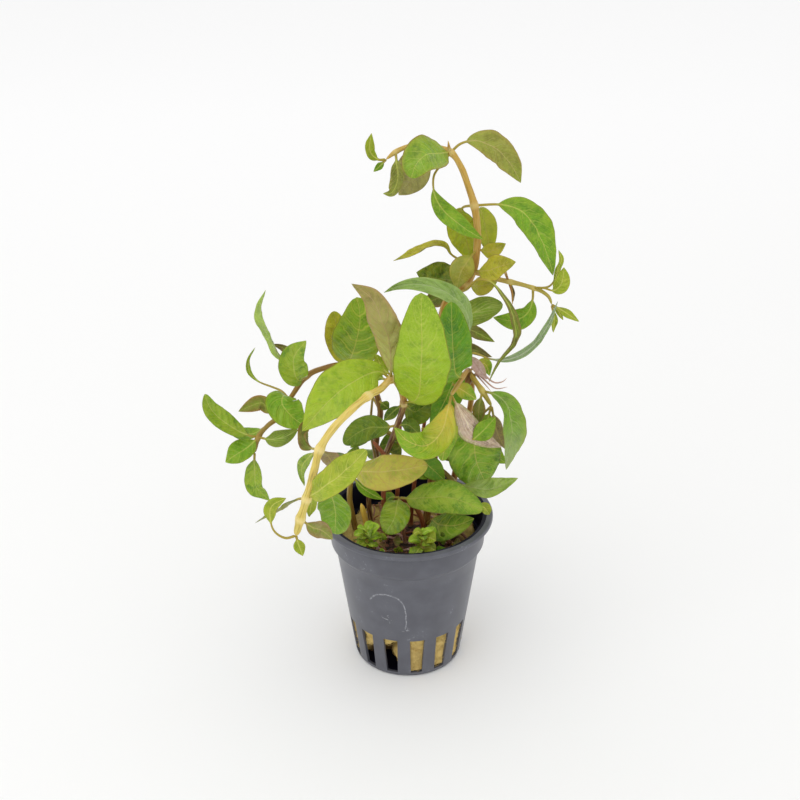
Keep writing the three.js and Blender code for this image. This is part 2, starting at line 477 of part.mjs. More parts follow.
// A leaf is one thin lens swept along its midrib, from the petiole to the tip
function leafSolid(leaf, startPoint, startTrim, bladeRows) {
  const points = [startPoint, ...leaf.path.map(vector)];
  const curve = new THREE.CatmullRomCurve3(points, false, 'centripetal');
  const start = startTrim / curve.getLength();
  const petiole = leaf.petiole ?? 0.2;
  const petioleRows = petiole > 0.28 ? [0, 0.5, 1] : [0, 1];
  const rows = [
    ...petioleRows.map((row) => ({ share: row * petiole, half: petioleRadius })),
    ...bladeRows.map((row) => ({
      share: petiole + (1 - petiole) * row,
      half: Math.max(petioleRadius, leaf.width / 2 * bladeShape(row, leaf.round)),
    })),
  ];
  const face = vector(leaf.face).normalize();
  const rings = rows.map(({ share, half }) => {
    const place = start + (1 - start) * share;
    const centre = curve.getPointAt(place);
    const along = curve.getTangentAt(place);
    const up = face.clone().addScaledVector(along, -face.dot(along)).normalize();
    const side = up.clone().cross(along);
    const thin = THREE.MathUtils.lerp(petioleRadius, bladeThickness / 2, Math.min(1, half / 2));
    const lift = half > petioleRadius ? half * 0.16 : 0;
    const other = side.clone().negate();
    return [
      centre.clone().addScaledVector(side, bladeReach(curve, place, side, half)).addScaledVector(up, lift),
      centre.clone().addScaledVector(up, thin),
      centre.clone().addScaledVector(other, bladeReach(curve, place, other, half)).addScaledVector(up, lift),
      centre.clone().addScaledVector(up, -thin),
    ];
  });
  return loft(rings, curve.getPointAt(start), curve.getPointAt(1));
}

function material(colour, roughness) {
  return new THREE.MeshStandardMaterial({ color: colours[colour], roughness, metalness: 0 });
}

function addMesh(group, name, geometry, finish) {
  geometry.computeVertexNormals();
  const mesh = new THREE.Mesh(geometry, finish);
  mesh.name = name;
  group.add(mesh);
}

// A wedge that runs outwards through the wall, turned round the pot's axis
function slotCutter(turn) {
  const outline = new THREE.Shape([
    new THREE.Vector2(-slotWidthLow / 2, slotLow),
    new THREE.Vector2(slotWidthLow / 2, slotLow),
    new THREE.Vector2(slotWidthHigh / 2, slotHigh),
    new THREE.Vector2(-slotWidthHigh / 2, slotHigh),
  ]);
  const depth = bodyTopRadius - bodyFootRadius + 4 * wall;
  const cutter = new THREE.ExtrudeGeometry(outline, { depth, bevelEnabled: false });
  return solidFrom(cutter.translate(0, 0, bodyFootRadius - 3 * wall).rotateX(Math.PI / 2).rotateZ(turn));
}

function potGeometry() {
  const collarFoot = potHeight - collarHeight;
  const profile = [
    [0, 0], [bodyFootRadius - footRounding, 0], [bodyFootRadius, footRounding],
    [bodyTopRadius, collarFoot], [collarRadius - 0.15, collarFoot + 1.7],
    [collarRadius, potHeight - rimThickness], [rimRadius - 0.2, potHeight - rimThickness],
    [rimRadius, potHeight - rimThickness / 2], [rimRadius - 0.6, potHeight],
    [collarRadius - 0.1, potHeight], [collarRadius - wall, potHeight - 0.9],
    [collarRadius - wall - 0.15, collarFoot + 2], [bodyTopRadius - wall, collarFoot + 0.3],
    [bodyFootRadius - wall, 1.6 * wall], [0, 1.2 * wall],
  ].map(([radius, height]) => new THREE.Vector2(radius, height));
  const shell = new THREE.LatheGeometry(profile, potFacets).rotateX(Math.PI / 2);
  let pot = solidFrom(shell);
  for (let slot = 0; slot < slotCount; slot += 1) {
    pot = pot.subtract(slotCutter(THREE.MathUtils.degToRad(slotTurn + 360 / slotCount * slot)));
  }
  return geometryFrom(pot);
}

// The plug narrows downwards, and is cut away low on its front left
function woolGeometry() {
  const profile = [
    [0, woolLow], [woolLowRadius - woolRounding, woolLow], [woolLowRadius, woolLow + woolRounding],
    [woolTopRadius, woolTop - woolRounding], [woolTopRadius - woolRounding, woolTop], [0, woolTop],
  ].map(([radius, height]) => new THREE.Vector2(radius, height));
  const plug = new THREE.LatheGeometry(profile, woolFacets).rotateX(Math.PI / 2);
  const outline = new THREE.Shape([
    new THREE.Vector2(notchRight, 0),
    new THREE.Vector2(notchRight, notchHigh),
    new THREE.Vector2(-woolTopRadius, notchLow),
    new THREE.Vector2(-woolTopRadius, 0),
  ]);
  const notch = new THREE.ExtrudeGeometry(outline, { depth: woolTopRadius, bevelEnabled: false });
  notch.translate(0, 0, notchBack).rotateX(Math.PI / 2);
  return geometryFrom(solidFrom(plug).subtract(solidFrom(notch)));
}

const group = new THREE.Group();
addMesh(group, 'pot', potGeometry(), material('pot', 0.45));
addMesh(group, 'rock_wool', woolGeometry(), material('wool', 0.95));

for (const stem of Object.values(stems)) {
  let solid = solidFrom(stemSolid(stem));
  const points = stemPoints(stem);
  for (const sprig of stem.sprigs) {
    solid = solid.add(solidFrom(leafSolid(sprig, points[sprig.node], 0, sprigRows)));
  }
  addMesh(group, stem.mesh, geometryFrom(solid), material(stem.colour, 0.5));
}

for (const leaf of leaves) {
  const stem = stems[leaf.stem];
  const points = stemPoints(stem);
  const trim = stemRadius(stem, leaf.node / points.length) * (1 + nodeSwelling) + gap + petioleRadius;
  const geometry = leafSolid(leaf, points[leaf.node], trim, leafRows);
  addMesh(group, leaf.mesh, geometry, material(leaf.colour, 0.45));
}

for (const plantlet of plantlets) {
  const [x, y] = plantlet.at;
  const stalkPath = [[x, y, soilLine], [x, y, soilLine + plantlet.height]];
  const stalk = { foot: 0.6, tip: 0.5, nodes: [1], path: stalkPath };
  let solid = solidFrom(stemSolid(stalk));
  for (let pair = 0; pair < plantlet.pairs; pair += 1) {
    const height = soilLine + plantlet.height * (0.35 + 0.65 * pair / (plantlet.pairs - 1));
    const reach = plantlet.spread * (1 - 0.45 * pair / plantlet.pairs);
    for (let leaf = 0; leaf < 2; leaf += 1) {
      const turn = THREE.MathUtils.degToRad(plantlet.turn + 90 * pair + 180 * leaf);
      const out = new THREE.Vector3(Math.cos(turn), Math.sin(turn), 0.35);
      const middle = new THREE.Vector3(x, y, height).addScaledVector(out, reach * 0.5);
      const tip = new THREE.Vector3(x, y, height).addScaledVector(out, reach);
      const path = [middle.toArray(), tip.toArray()];
      const blade = { path, width: reach * 0.55, face: [0, 0, 1], petiole: 0.1 };
      const foot = new THREE.Vector3(x, y, height - 0.6);
      solid = solid.add(solidFrom(leafSolid(blade, foot, 0, sprigRows)));
    }
  }
  addMesh(group, plantlet.mesh, geometryFrom(solid), material('green', 0.45));
}

export default group;
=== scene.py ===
import json
import math
from functools import partial

import bmesh
import bpy
import numpy as np
from mathutils import Matrix, Vector


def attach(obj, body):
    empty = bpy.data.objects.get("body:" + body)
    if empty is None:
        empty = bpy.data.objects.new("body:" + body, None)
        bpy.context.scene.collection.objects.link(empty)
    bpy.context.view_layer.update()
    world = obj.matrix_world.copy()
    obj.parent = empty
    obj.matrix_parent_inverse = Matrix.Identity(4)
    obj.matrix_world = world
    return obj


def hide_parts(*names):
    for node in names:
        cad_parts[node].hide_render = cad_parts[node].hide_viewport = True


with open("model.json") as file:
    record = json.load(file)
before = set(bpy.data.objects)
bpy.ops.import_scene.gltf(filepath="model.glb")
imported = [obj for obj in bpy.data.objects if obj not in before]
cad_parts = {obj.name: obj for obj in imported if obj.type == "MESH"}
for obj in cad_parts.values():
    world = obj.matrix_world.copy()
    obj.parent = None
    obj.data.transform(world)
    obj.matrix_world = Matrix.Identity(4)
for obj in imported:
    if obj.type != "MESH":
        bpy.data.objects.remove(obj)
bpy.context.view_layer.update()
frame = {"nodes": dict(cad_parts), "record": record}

mm = 0.001          # the tables below are in millimetres
perMm = 1000.0      # texture scale of a pattern that repeats once in each millimetre
maths = "ShaderNodeMath"            # these two serve in finishes and in Geometry Nodes alike
mapRange = "ShaderNodeMapRange"


def linear(hexColour):
    # sRGB hex to the linear colour that the shaders use
    parts = [int(hexColour[i:i + 2], 16) / 255 for i in (1, 3, 5)]
    return [p / 12.92 if p <= 0.04045 else ((p + 0.055) / 1.055) ** 2.4 for p in parts] + [1.0]


def placed(name, data):
    # an object of that mesh, lamp or lens, linked to the scene
    thing = bpy.data.objects.new(name, data)
    bpy.context.scene.collection.objects.link(thing)
    return thing


def addNode(tree, kind, inputs=(), **settings):
    # one node with its settings; an input is a value, a socket, or a node whose first output it takes
    node = tree.nodes.new(kind)
    for name, value in settings.items():
        setattr(node, name, value)
    places = inputs.items() if isinstance(inputs, dict) else enumerate(inputs)
    for place, value in places:
        if isinstance(value, bpy.types.Node):
            value = value.outputs[0]
        if isinstance(value, bpy.types.NodeSocket):
            tree.links.new(value, node.inputs[place])
        elif value is not None:
            node.inputs[place].default_value = value
    return node


def newSkin(name, values):
    # a material, its tree, its shader with the values that are even all over, and what adds a node to it
    skin = bpy.data.materials.new(name)
    skin.use_nodes = True
    tree = skin.node_tree
    surface = tree.nodes["Principled BSDF"]
    for label, value in values.items():
        surface.inputs[label].default_value = value
    return skin, tree, surface, partial(addNode, tree)


def newTree(name, inputs):
    # a Geometry Nodes tree with the named inputs, each with its socket kind and first value, what reads
    # those inputs in it, and what adds a node to it
    tree = bpy.data.node_groups.new(name, "GeometryNodeTree")
    tree.interface.new_socket("Geometry", in_out="INPUT", socket_type="NodeSocketGeometry")
    tree.interface.new_socket("Geometry", in_out="OUTPUT", socket_type="NodeSocketGeometry")
    for label, (kind, value) in inputs.items():
        socket = tree.interface.new_socket(label, in_out="INPUT", socket_type="NodeSocket" + kind)
        if value is not None:
            socket.default_value = value
    return tree, tree.nodes.new("NodeGroupInput").outputs, partial(addNode, tree)


def closeTree(tree, geometry, skin):
    # every tree ends the same way, so that its result is plain mesh with its finish
    real = addNode(tree, "GeometryNodeRealizeInstances", [geometry])
    dressed = addNode(tree, "GeometryNodeSetMaterial", {"Geometry": real, "Material": skin})
    addNode(tree, "NodeGroupOutput", [dressed])


def grow(name, mesh, tree, values):
    # runs a tree on a mesh with the given inputs and returns the result as a plain mesh object
    carrier = placed(name + "_carrier", mesh)
    modifier = carrier.modifiers.new("shape", "NODES")
    modifier.node_group = tree
    sockets = {item.name: item.identifier for item in tree.interface.items_tree
               if item.in_out == "INPUT"}
    for label, value in values.items():
        modifier[sockets[label]] = value
    evaluated = carrier.evaluated_get(bpy.context.evaluated_depsgraph_get())
    made = bpy.data.meshes.new_from_object(evaluated)
    made.name = name
    bpy.data.objects.remove(carrier)
    return placed(name, made)


def joined(name, pieces):
    # several plain mesh objects as one
    first = pieces[0]
    with bpy.context.temp_override(active_object=first, object=first,
                                   selected_objects=pieces, selected_editable_objects=pieces):
        bpy.ops.object.join()
    first.name = name
    first.data.name = name
    return first


def dress(piece, slot, *nodes):
    # the piece stands for its CAD nodes and rides on the plant's one body
    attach(piece, "root")
    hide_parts(*nodes)


# Path and frames of stems and midribs

def smoothPath(points, rows):
    # evenly spaced places of a centripetal curve through the points, their directions, and its length
    knots = np.array(points, float)
    knots = np.vstack([2 * knots[0] - knots[1], knots, 2 * knots[-1] - knots[-2]])
    spans = np.linalg.norm(np.diff(knots, axis=0), axis=1) ** 0.5
    steps = np.linspace(0, 1, 40, endpoint=False)[:, None]
    fine = []
    for i in range(1, len(knots) - 2):
        a, b, c, d = knots[i - 1:i + 3]
        ab, bc, cd = spans[i - 1:i + 2]
        leaving = bc * ((b - a) / ab - (c - a) / (ab + bc) + (c - b) / bc)
        arriving = bc * ((c - b) / bc - (d - b) / (bc + cd) + (d - c) / cd)
        fine.append(b + leaving * steps + (3 * (c - b) - 2 * leaving - arriving) * steps ** 2
                    + (2 * (b - c) + leaving + arriving) * steps ** 3)
    fine = np.vstack(fine + [knots[-2:-1]])
    run = np.concatenate([[0], np.cumsum(np.linalg.norm(np.diff(fine, axis=0), axis=1))])
    at = np.linspace(0, run[-1], rows)
    places = np.column_stack([np.interp(at, run, fine[:, k]) for k in range(3)])
    return places, unit(np.gradient(places, axis=0)), run[-1]


def unit(vectors):
    return vectors / np.maximum(np.linalg.norm(vectors, axis=-1, keepdims=True), 1e-9)


def pathMesh(name, places, attributes):
    # a line of points in metres that carries what its tree reads at each point
    mesh = bpy.data.meshes.new(name)
    mesh.from_pydata([tuple(p) for p in places * mm], [(i, i + 1) for i in range(len(places) - 1)], [])
    for label, values in attributes.items():
        kind, field = ("FLOAT_VECTOR", "vector") if values.ndim == 2 else ("FLOAT", "value")
        mesh.attributes.new(label, kind, "POINT").data.foreach_set(field, values.astype(np.float32).ravel())
    return mesh


def stemPoints(stem):
    start = [stems[stem["grows"][0]]["path"][stem["grows"][1]]] if "grows" in stem else []
    return start + stem["path"]


# Stems: a rod along its path, swollen where leaves leave it

stemForm = dict(step=0.8, sides=16, swelling=0.34, reach=1.3, domeRows=4, ripple=0.03, rippleTurn=0.9)


def stemTree():
    tree, g, add = newTree("stem", {"Sides": ("Int", 16), "Skin": ("Material", None)})
    line = add("GeometryNodeMeshToCurve", [g["Geometry"]])
    ring = add("GeometryNodeCurvePrimitiveCircle", {"Resolution": g["Sides"], "Radius": 1.0})
    place = add("GeometryNodeInputPosition")
    ring = add("GeometryNodeStoreNamedAttribute",
               {"Geometry": ring.outputs["Curve"], "Name": "round", "Value": place},
               data_type="FLOAT_VECTOR", domain="POINT")
    thick = add("GeometryNodeInputNamedAttribute", ["thick"], data_type="FLOAT")
    rod = add("GeometryNodeCurveToMesh",
              {"Curve": line, "Profile Curve": ring, "Scale": thick, "Fill Caps": True})
    closeTree(tree, add("GeometryNodeSetShadeSmooth", [rod]), g["Skin"])
    return tree


def makeStem(name, points, foot, tip, rings, skin, tree, taper=1.0):
    length = smoothPath(points, 50)[2]
    rows = max(8, round(length / stemForm["step"]))
    places, along, length = smoothPath(points, rows)
    share = np.linspace(0, 1, rows)
    nodes = np.array([points[i] for i in rings], float).reshape(-1, 3)
    away = np.linalg.norm(places[:, None] - nodes[None], axis=2).min(axis=1)
    ring = np.exp(-(away / stemForm["reach"]) ** 2)
    thick = (foot + (tip - foot) * share ** taper) * (1 + stemForm["swelling"] * ring)
    thick *= 1 + stemForm["ripple"] * np.sin(share * length * stemForm["rippleTurn"])
    left = np.arange(rows)[::-1] / stemForm["domeRows"]
    thick *= np.sqrt(np.clip(1 - (1 - np.minimum(left, 1)) ** 2, 0.02, 1))
    line = pathMesh(name, places,
                    {"thick": thick * mm, "ring": ring, "share": share, "run": share * length})
    return grow(name, line, tree, {"Sides": stemForm["sides"], "Skin": skin})


# Leaves: one closed lens swept along the midrib, folded, waved and quilted between its veins

leafForm = dict(
    rows=64, ring=48, petioleRadius=0.42, tipRadius=0.07, thickness=0.34, petiole=0.2, fold=0.14, wave=0.45,
    waves=1.7, quilt=0.24, pairs=7.0, slant=1.5, warp=0.6, rib=0.2, twist=0.0, blunt=False,
    pointed=(0.84, 0.9), rounded=(0.95, 0.55), bendSpan=0.06, bendShare=0.75, faceEasing=6, bendEasing=12)
smallLeafForm = dict(rows=30, ring=24, quilt=0.12, warp=0.35, wave=0.25, rib=0.12)
# the same for every leaf: its ragged edge and dents as patterns in each millimetre, the powers by which
# its fold, hem and veins grow towards the edge, how far the waves of its other side lag, and in
# millimetres what eases one form into the next
leafRelief = dict(ragged=0.16, raggedFrom=0.43, raggedTo=0.57, dent=0.13, foldPower=1.6, hemPower=2.0,
                  veinPower=1.3, otherSide=2.2, pillow=-4.0, opened=0.18, join=0.3, thinFrom=0.5, thinTo=2,
                  trough=0.8, merge=0.0005)


def leafTree():
    labels = ["Width", "Length", "Petiole", "Petiole Radius", "Tip Radius", "Thickness", "Rise", "Fullness",
              "Fold", "Wave", "Waves", "Wave Start", "Quilt", "Pairs", "Slant", "Warp", "Rib"]
    inputs = {"Rows": ("Int", 64), "Ring": ("Int", 48), "Skin": ("Material", None)}
    inputs.update({label: ("Float", 0.0) for label in labels})
    tree, g, add = newTree("leaf", inputs)
    relief = leafRelief

    # where each point of the grid lies: along the midrib by its row, round the section by its column
    grid = add("GeometryNodeMeshGrid", {"Vertices X": g["Ring"], "Vertices Y": g["Rows"]})
    index = add("GeometryNodeInputIndex")
    row = add(maths, [index, g["Rows"]], operation="FLOORED_MODULO")
    column = add(maths, [add(maths, [index, g["Rows"]], operation="DIVIDE")], operation="FLOOR")
    lastRow = add(maths, [g["Rows"], 1.0], operation="SUBTRACT")
    lastColumn = add(maths, [g["Ring"], 1.0], operation="SUBTRACT")
    turn = add(maths, [add(maths, [column, lastColumn], operation="DIVIDE"), math.tau],
               operation="MULTIPLY")
    across = add(maths, [turn], operation="COSINE")
    upper = add(maths, [turn], operation="SINE")
    edge = add(maths, [across], operation="ABSOLUTE")
    onPlus = add(maths, [across, 0.0], operation="GREATER_THAN")
    share = add(maths, [row, lastRow], operation="DIVIDE")
    along = add(mapRange, {"Value": share, "From Min": g["Petiole"]}, clamp=False)
    blade = add(mapRange, {"Value": share, "From Min": g["Petiole"]})
    fromEnd = add(maths, [lastRow, row], operation="SUBTRACT")
    body = add(maths, [add(maths, [row, fromEnd], operation="MINIMUM"), 1.0], operation="MINIMUM")

    # the midrib's own values at that row
    sampled = {}
    for label, kind in (("side", "FLOAT_VECTOR"), ("up", "FLOAT_VECTOR"), ("roomPlus", "FLOAT"),
                        ("roomMinus", "FLOAT"), ("place", "FLOAT_VECTOR")):
        value = (add("GeometryNodeInputPosition") if label == "place"
                 else add("GeometryNodeInputNamedAttribute", [label], data_type=kind))
        sampled[label] = add("GeometryNodeSampleIndex",
                             {"Geometry": g["Geometry"], "Value": value, "Index": row}, data_type=kind)

    # half the blade's width, no wider inside a bend than the bend allows
    risen = add(maths, [blade, g["Rise"]], operation="POWER")
    bow = add(maths, [add(maths, [risen, math.pi], operation="MULTIPLY")], operation="SINE")
    bow = add(maths, [add(maths, [bow, 0.0], operation="MAXIMUM"), g["Fullness"]], operation="POWER")
    ragged = add("ShaderNodeTexNoise",
                 {"Vector": sampled["place"], "W": onPlus, "Scale": relief["ragged"] * perMm,
                  "Detail": 2.0}, noise_dimensions="4D")
    ragged = add(mapRange, {"Value": ragged, "To Min": relief["raggedFrom"], "To Max": relief["raggedTo"]})
    half = add(maths, [add(maths, [bow, g["Width"]], operation="MULTIPLY"), ragged], operation="MULTIPLY")
    stalk = add(mapRange, {"Value": share, "To Min": g["Petiole Radius"], "To Max": g["Tip Radius"]})
    half = add(maths, [half, stalk, relief["join"] * mm], operation="SMOOTH_MAX")
    spare = add(maths, [sampled["roomPlus"], sampled["roomMinus"]], operation="SUBTRACT")
    room = add(maths, [spare, onPlus, sampled["roomMinus"]], operation="MULTIPLY_ADD")
    half = add(maths, [half, room, relief["join"] * mm], operation="SMOOTH_MIN")
    sideways = add(maths, [add(maths, [half, across], operation="MULTIPLY"), body], operation="MULTIPLY")

    # its thickness, and how far each point stands off the flat blade
    thin = add(mapRange,
               {"Value": half, "From Min": relief["thinFrom"] * mm, "From Max": relief["thinTo"] * mm,
                "To Min": stalk, "To Max": g["Thickness"]})
    raised = add(maths, [add(maths, [upper, thin], operation="MULTIPLY"), body], operation="MULTIPLY")
    opened = add(mapRange, {"Value": blade, "From Max": relief["opened"]}, interpolation_type="SMOOTHSTEP")
    cupped = add(maths, [edge, relief["foldPower"]], operation="POWER")
    cupped = add(maths, [add(maths, [cupped, half], operation="MULTIPLY"), g["Fold"]], operation="MULTIPLY")
    phase = add(maths, [onPlus, relief["otherSide"], g["Wave Start"]], operation="MULTIPLY_ADD")
    cycles = add(maths, [g["Waves"], math.tau], operation="MULTIPLY")
    waved = add(maths, [add(maths, [blade, cycles, phase], operation="MULTIPLY_ADD")], operation="SINE")
    hem = add(maths, [add(maths, [edge, relief["hemPower"]], operation="POWER"), bow], operation="MULTIPLY")
    waved = add(maths, [add(maths, [waved, hem], operation="MULTIPLY"), g["Wave"]], operation="MULTIPLY")
    swept = add(maths, [add(maths, [edge, relief["veinPower"]], operation="POWER"), g["Slant"]],
                operation="MULTIPLY")
    swept = add(maths, [add(maths, [blade, g["Pairs"]], operation="MULTIPLY"), swept], operation="SUBTRACT")
    pillow = add(maths, [add(maths, [swept, math.tau], operation="MULTIPLY")], operation="COSINE")
    inner = add(maths, [edge, add(maths, [1.0, edge], operation="SUBTRACT")], operation="MULTIPLY")
    pillow = add(maths, [add(maths, [pillow, inner], operation="MULTIPLY"), g["Quilt"]],
                 operation="MULTIPLY")
    pillow = add(maths, [add(maths, [pillow, bow], operation="MULTIPLY"), relief["pillow"]],
                 operation="MULTIPLY")
    reached = add(maths, [share, g["Length"]], operation="MULTIPLY")
    flat = add("ShaderNodeCombineXYZ",
               [add(maths, [value, perMm], operation="MULTIPLY") for value in (sideways, reached)])
    spot = add("ShaderNodeVectorMath", [flat, [mm] * 3], operation="MULTIPLY")
    spot = add("ShaderNodeVectorMath", [sampled["place"], spot])
    dent = add("ShaderNodeTexNoise", {"Vector": spot, "Scale": relief["dent"] * perMm, "Detail": 2.0})
    dent = add(maths, [add(maths, [dent, 0.5], operation="SUBTRACT"), g["Warp"]], operation="MULTIPLY")
    dent = add(maths, [dent, bow], operation="MULTIPLY")
    trough = add(mapRange,
                 {"Value": add(maths, [sideways], operation="ABSOLUTE"), "From Max": relief["trough"] * mm,
                  "To Min": g["Rib"], "To Max": 0.0}, interpolation_type="SMOOTHSTEP")
    trough = add(maths, [trough, bow], operation="MULTIPLY")
    lift = add(maths, [cupped, waved], operation="ADD")
    lift = add(maths, [add(maths, [lift, pillow], operation="ADD"), opened], operation="MULTIPLY")
    lift = add(maths, [add(maths, [lift, dent], operation="ADD"), trough], operation="SUBTRACT")
    lift = add(maths, [add(maths, [lift, body], operation="MULTIPLY"), raised], operation="ADD")

    # moved into place, with what its finish reads
    aside = add("ShaderNodeVectorMath", {0: sampled["side"], "Scale": sideways}, operation="SCALE")
    above = add("ShaderNodeVectorMath", {0: sampled["up"], "Scale": lift}, operation="SCALE")
    offset = add("ShaderNodeVectorMath", [aside, above])
    place = add("ShaderNodeVectorMath", [sampled["place"], offset])
    shape = grid
    for label, kind, value in (("along", "FLOAT", along), ("across", "FLOAT", across),
                               ("upper", "FLOAT", upper), ("flat", "FLOAT_VECTOR", flat)):
        shape = add("GeometryNodeStoreNamedAttribute", {"Geometry": shape, "Name": label, "Value": value},
                    data_type=kind, domain="POINT")
    shape = add("GeometryNodeSetPosition", {"Geometry": shape, "Position": place})
    shape = add("GeometryNodeMergeByDistance", {"Geometry": shape, "Distance": relief["merge"] * mm})
    shape = add("GeometryNodeSetShadeSmooth", [shape])
    closeTree(tree, shape, g["Skin"])
    return tree


def makeLeaf(name, leaf, start, skin, tree, form):
    rows = form["rows"]
    places, along, length = smoothPath([start] + leaf["path"], rows)
    face = unit(np.array(leaf["face"], float))
    up = unit(face - (along @ face)[:, None] * along)
    for _ in range(form["faceEasing"]):         # spreads a quick turn of the face over the rows next to it
        up[1:-1] = (up[:-2] + 2 * up[1:-1] + up[2:]) / 4
        up = unit(up - (up * along).sum(axis=1)[:, None] * along)
    side = np.cross(up, along)
    share = np.linspace(0, 1, rows)
    blade = np.clip((share - form["petiole"]) / (1 - form["petiole"]), 0, 1)
    angle = np.radians(form["twist"]) * blade[:, None]
    side, up = side * np.cos(angle) + up * np.sin(angle), up * np.cos(angle) - side * np.sin(angle)
    span = max(1, round(rows * form["bendSpan"]))
    ends = np.clip(np.arange(rows) + span, 0, rows - 1), np.clip(np.arange(rows) - span, 0, rows - 1)
    bend = (along[ends[0]] - along[ends[1]]) / ((ends[0] - ends[1])[:, None] * length / (rows - 1))
    bend = (bend * side).sum(axis=1)
    for _ in range(form["bendEasing"]):
        bend[1:-1] = (bend[:-2] + 2 * bend[1:-1] + bend[2:]) / 4
    room = [form["bendShare"] / np.maximum(sign * bend, 0.01) * mm for sign in (1, -1)]
    line = pathMesh(name, places, {"side": side, "up": up, "roomPlus": room[0], "roomMinus": room[1]})
    rise, fullness = form["rounded" if form["blunt"] else "pointed"]
    return grow(name, line, tree, {
        "Rows": rows, "Ring": form["ring"], "Skin": skin, "Width": leaf["width"] * mm,
        "Length": length * mm, "Petiole": form["petiole"], "Petiole Radius": form["petioleRadius"] * mm,
        "Tip Radius": form["tipRadius"] * mm, "Thickness": form["thickness"] / 2 * mm, "Rise": rise,
        "Fullness": fullness, "Fold": form["fold"], "Wave": form["wave"] * mm, "Waves": form["waves"],
        "Wave Start": float(places[0, 0] + places[0, 2]), "Quilt": form["quilt"] * mm,
        "Pairs": form["pairs"], "Slant": form["slant"], "Warp": form["warp"] * mm * 4,
        "Rib": form["rib"] * mm})


# The plant, in millimetres: stems with their small leaves, then the leaves that are pieces of their own

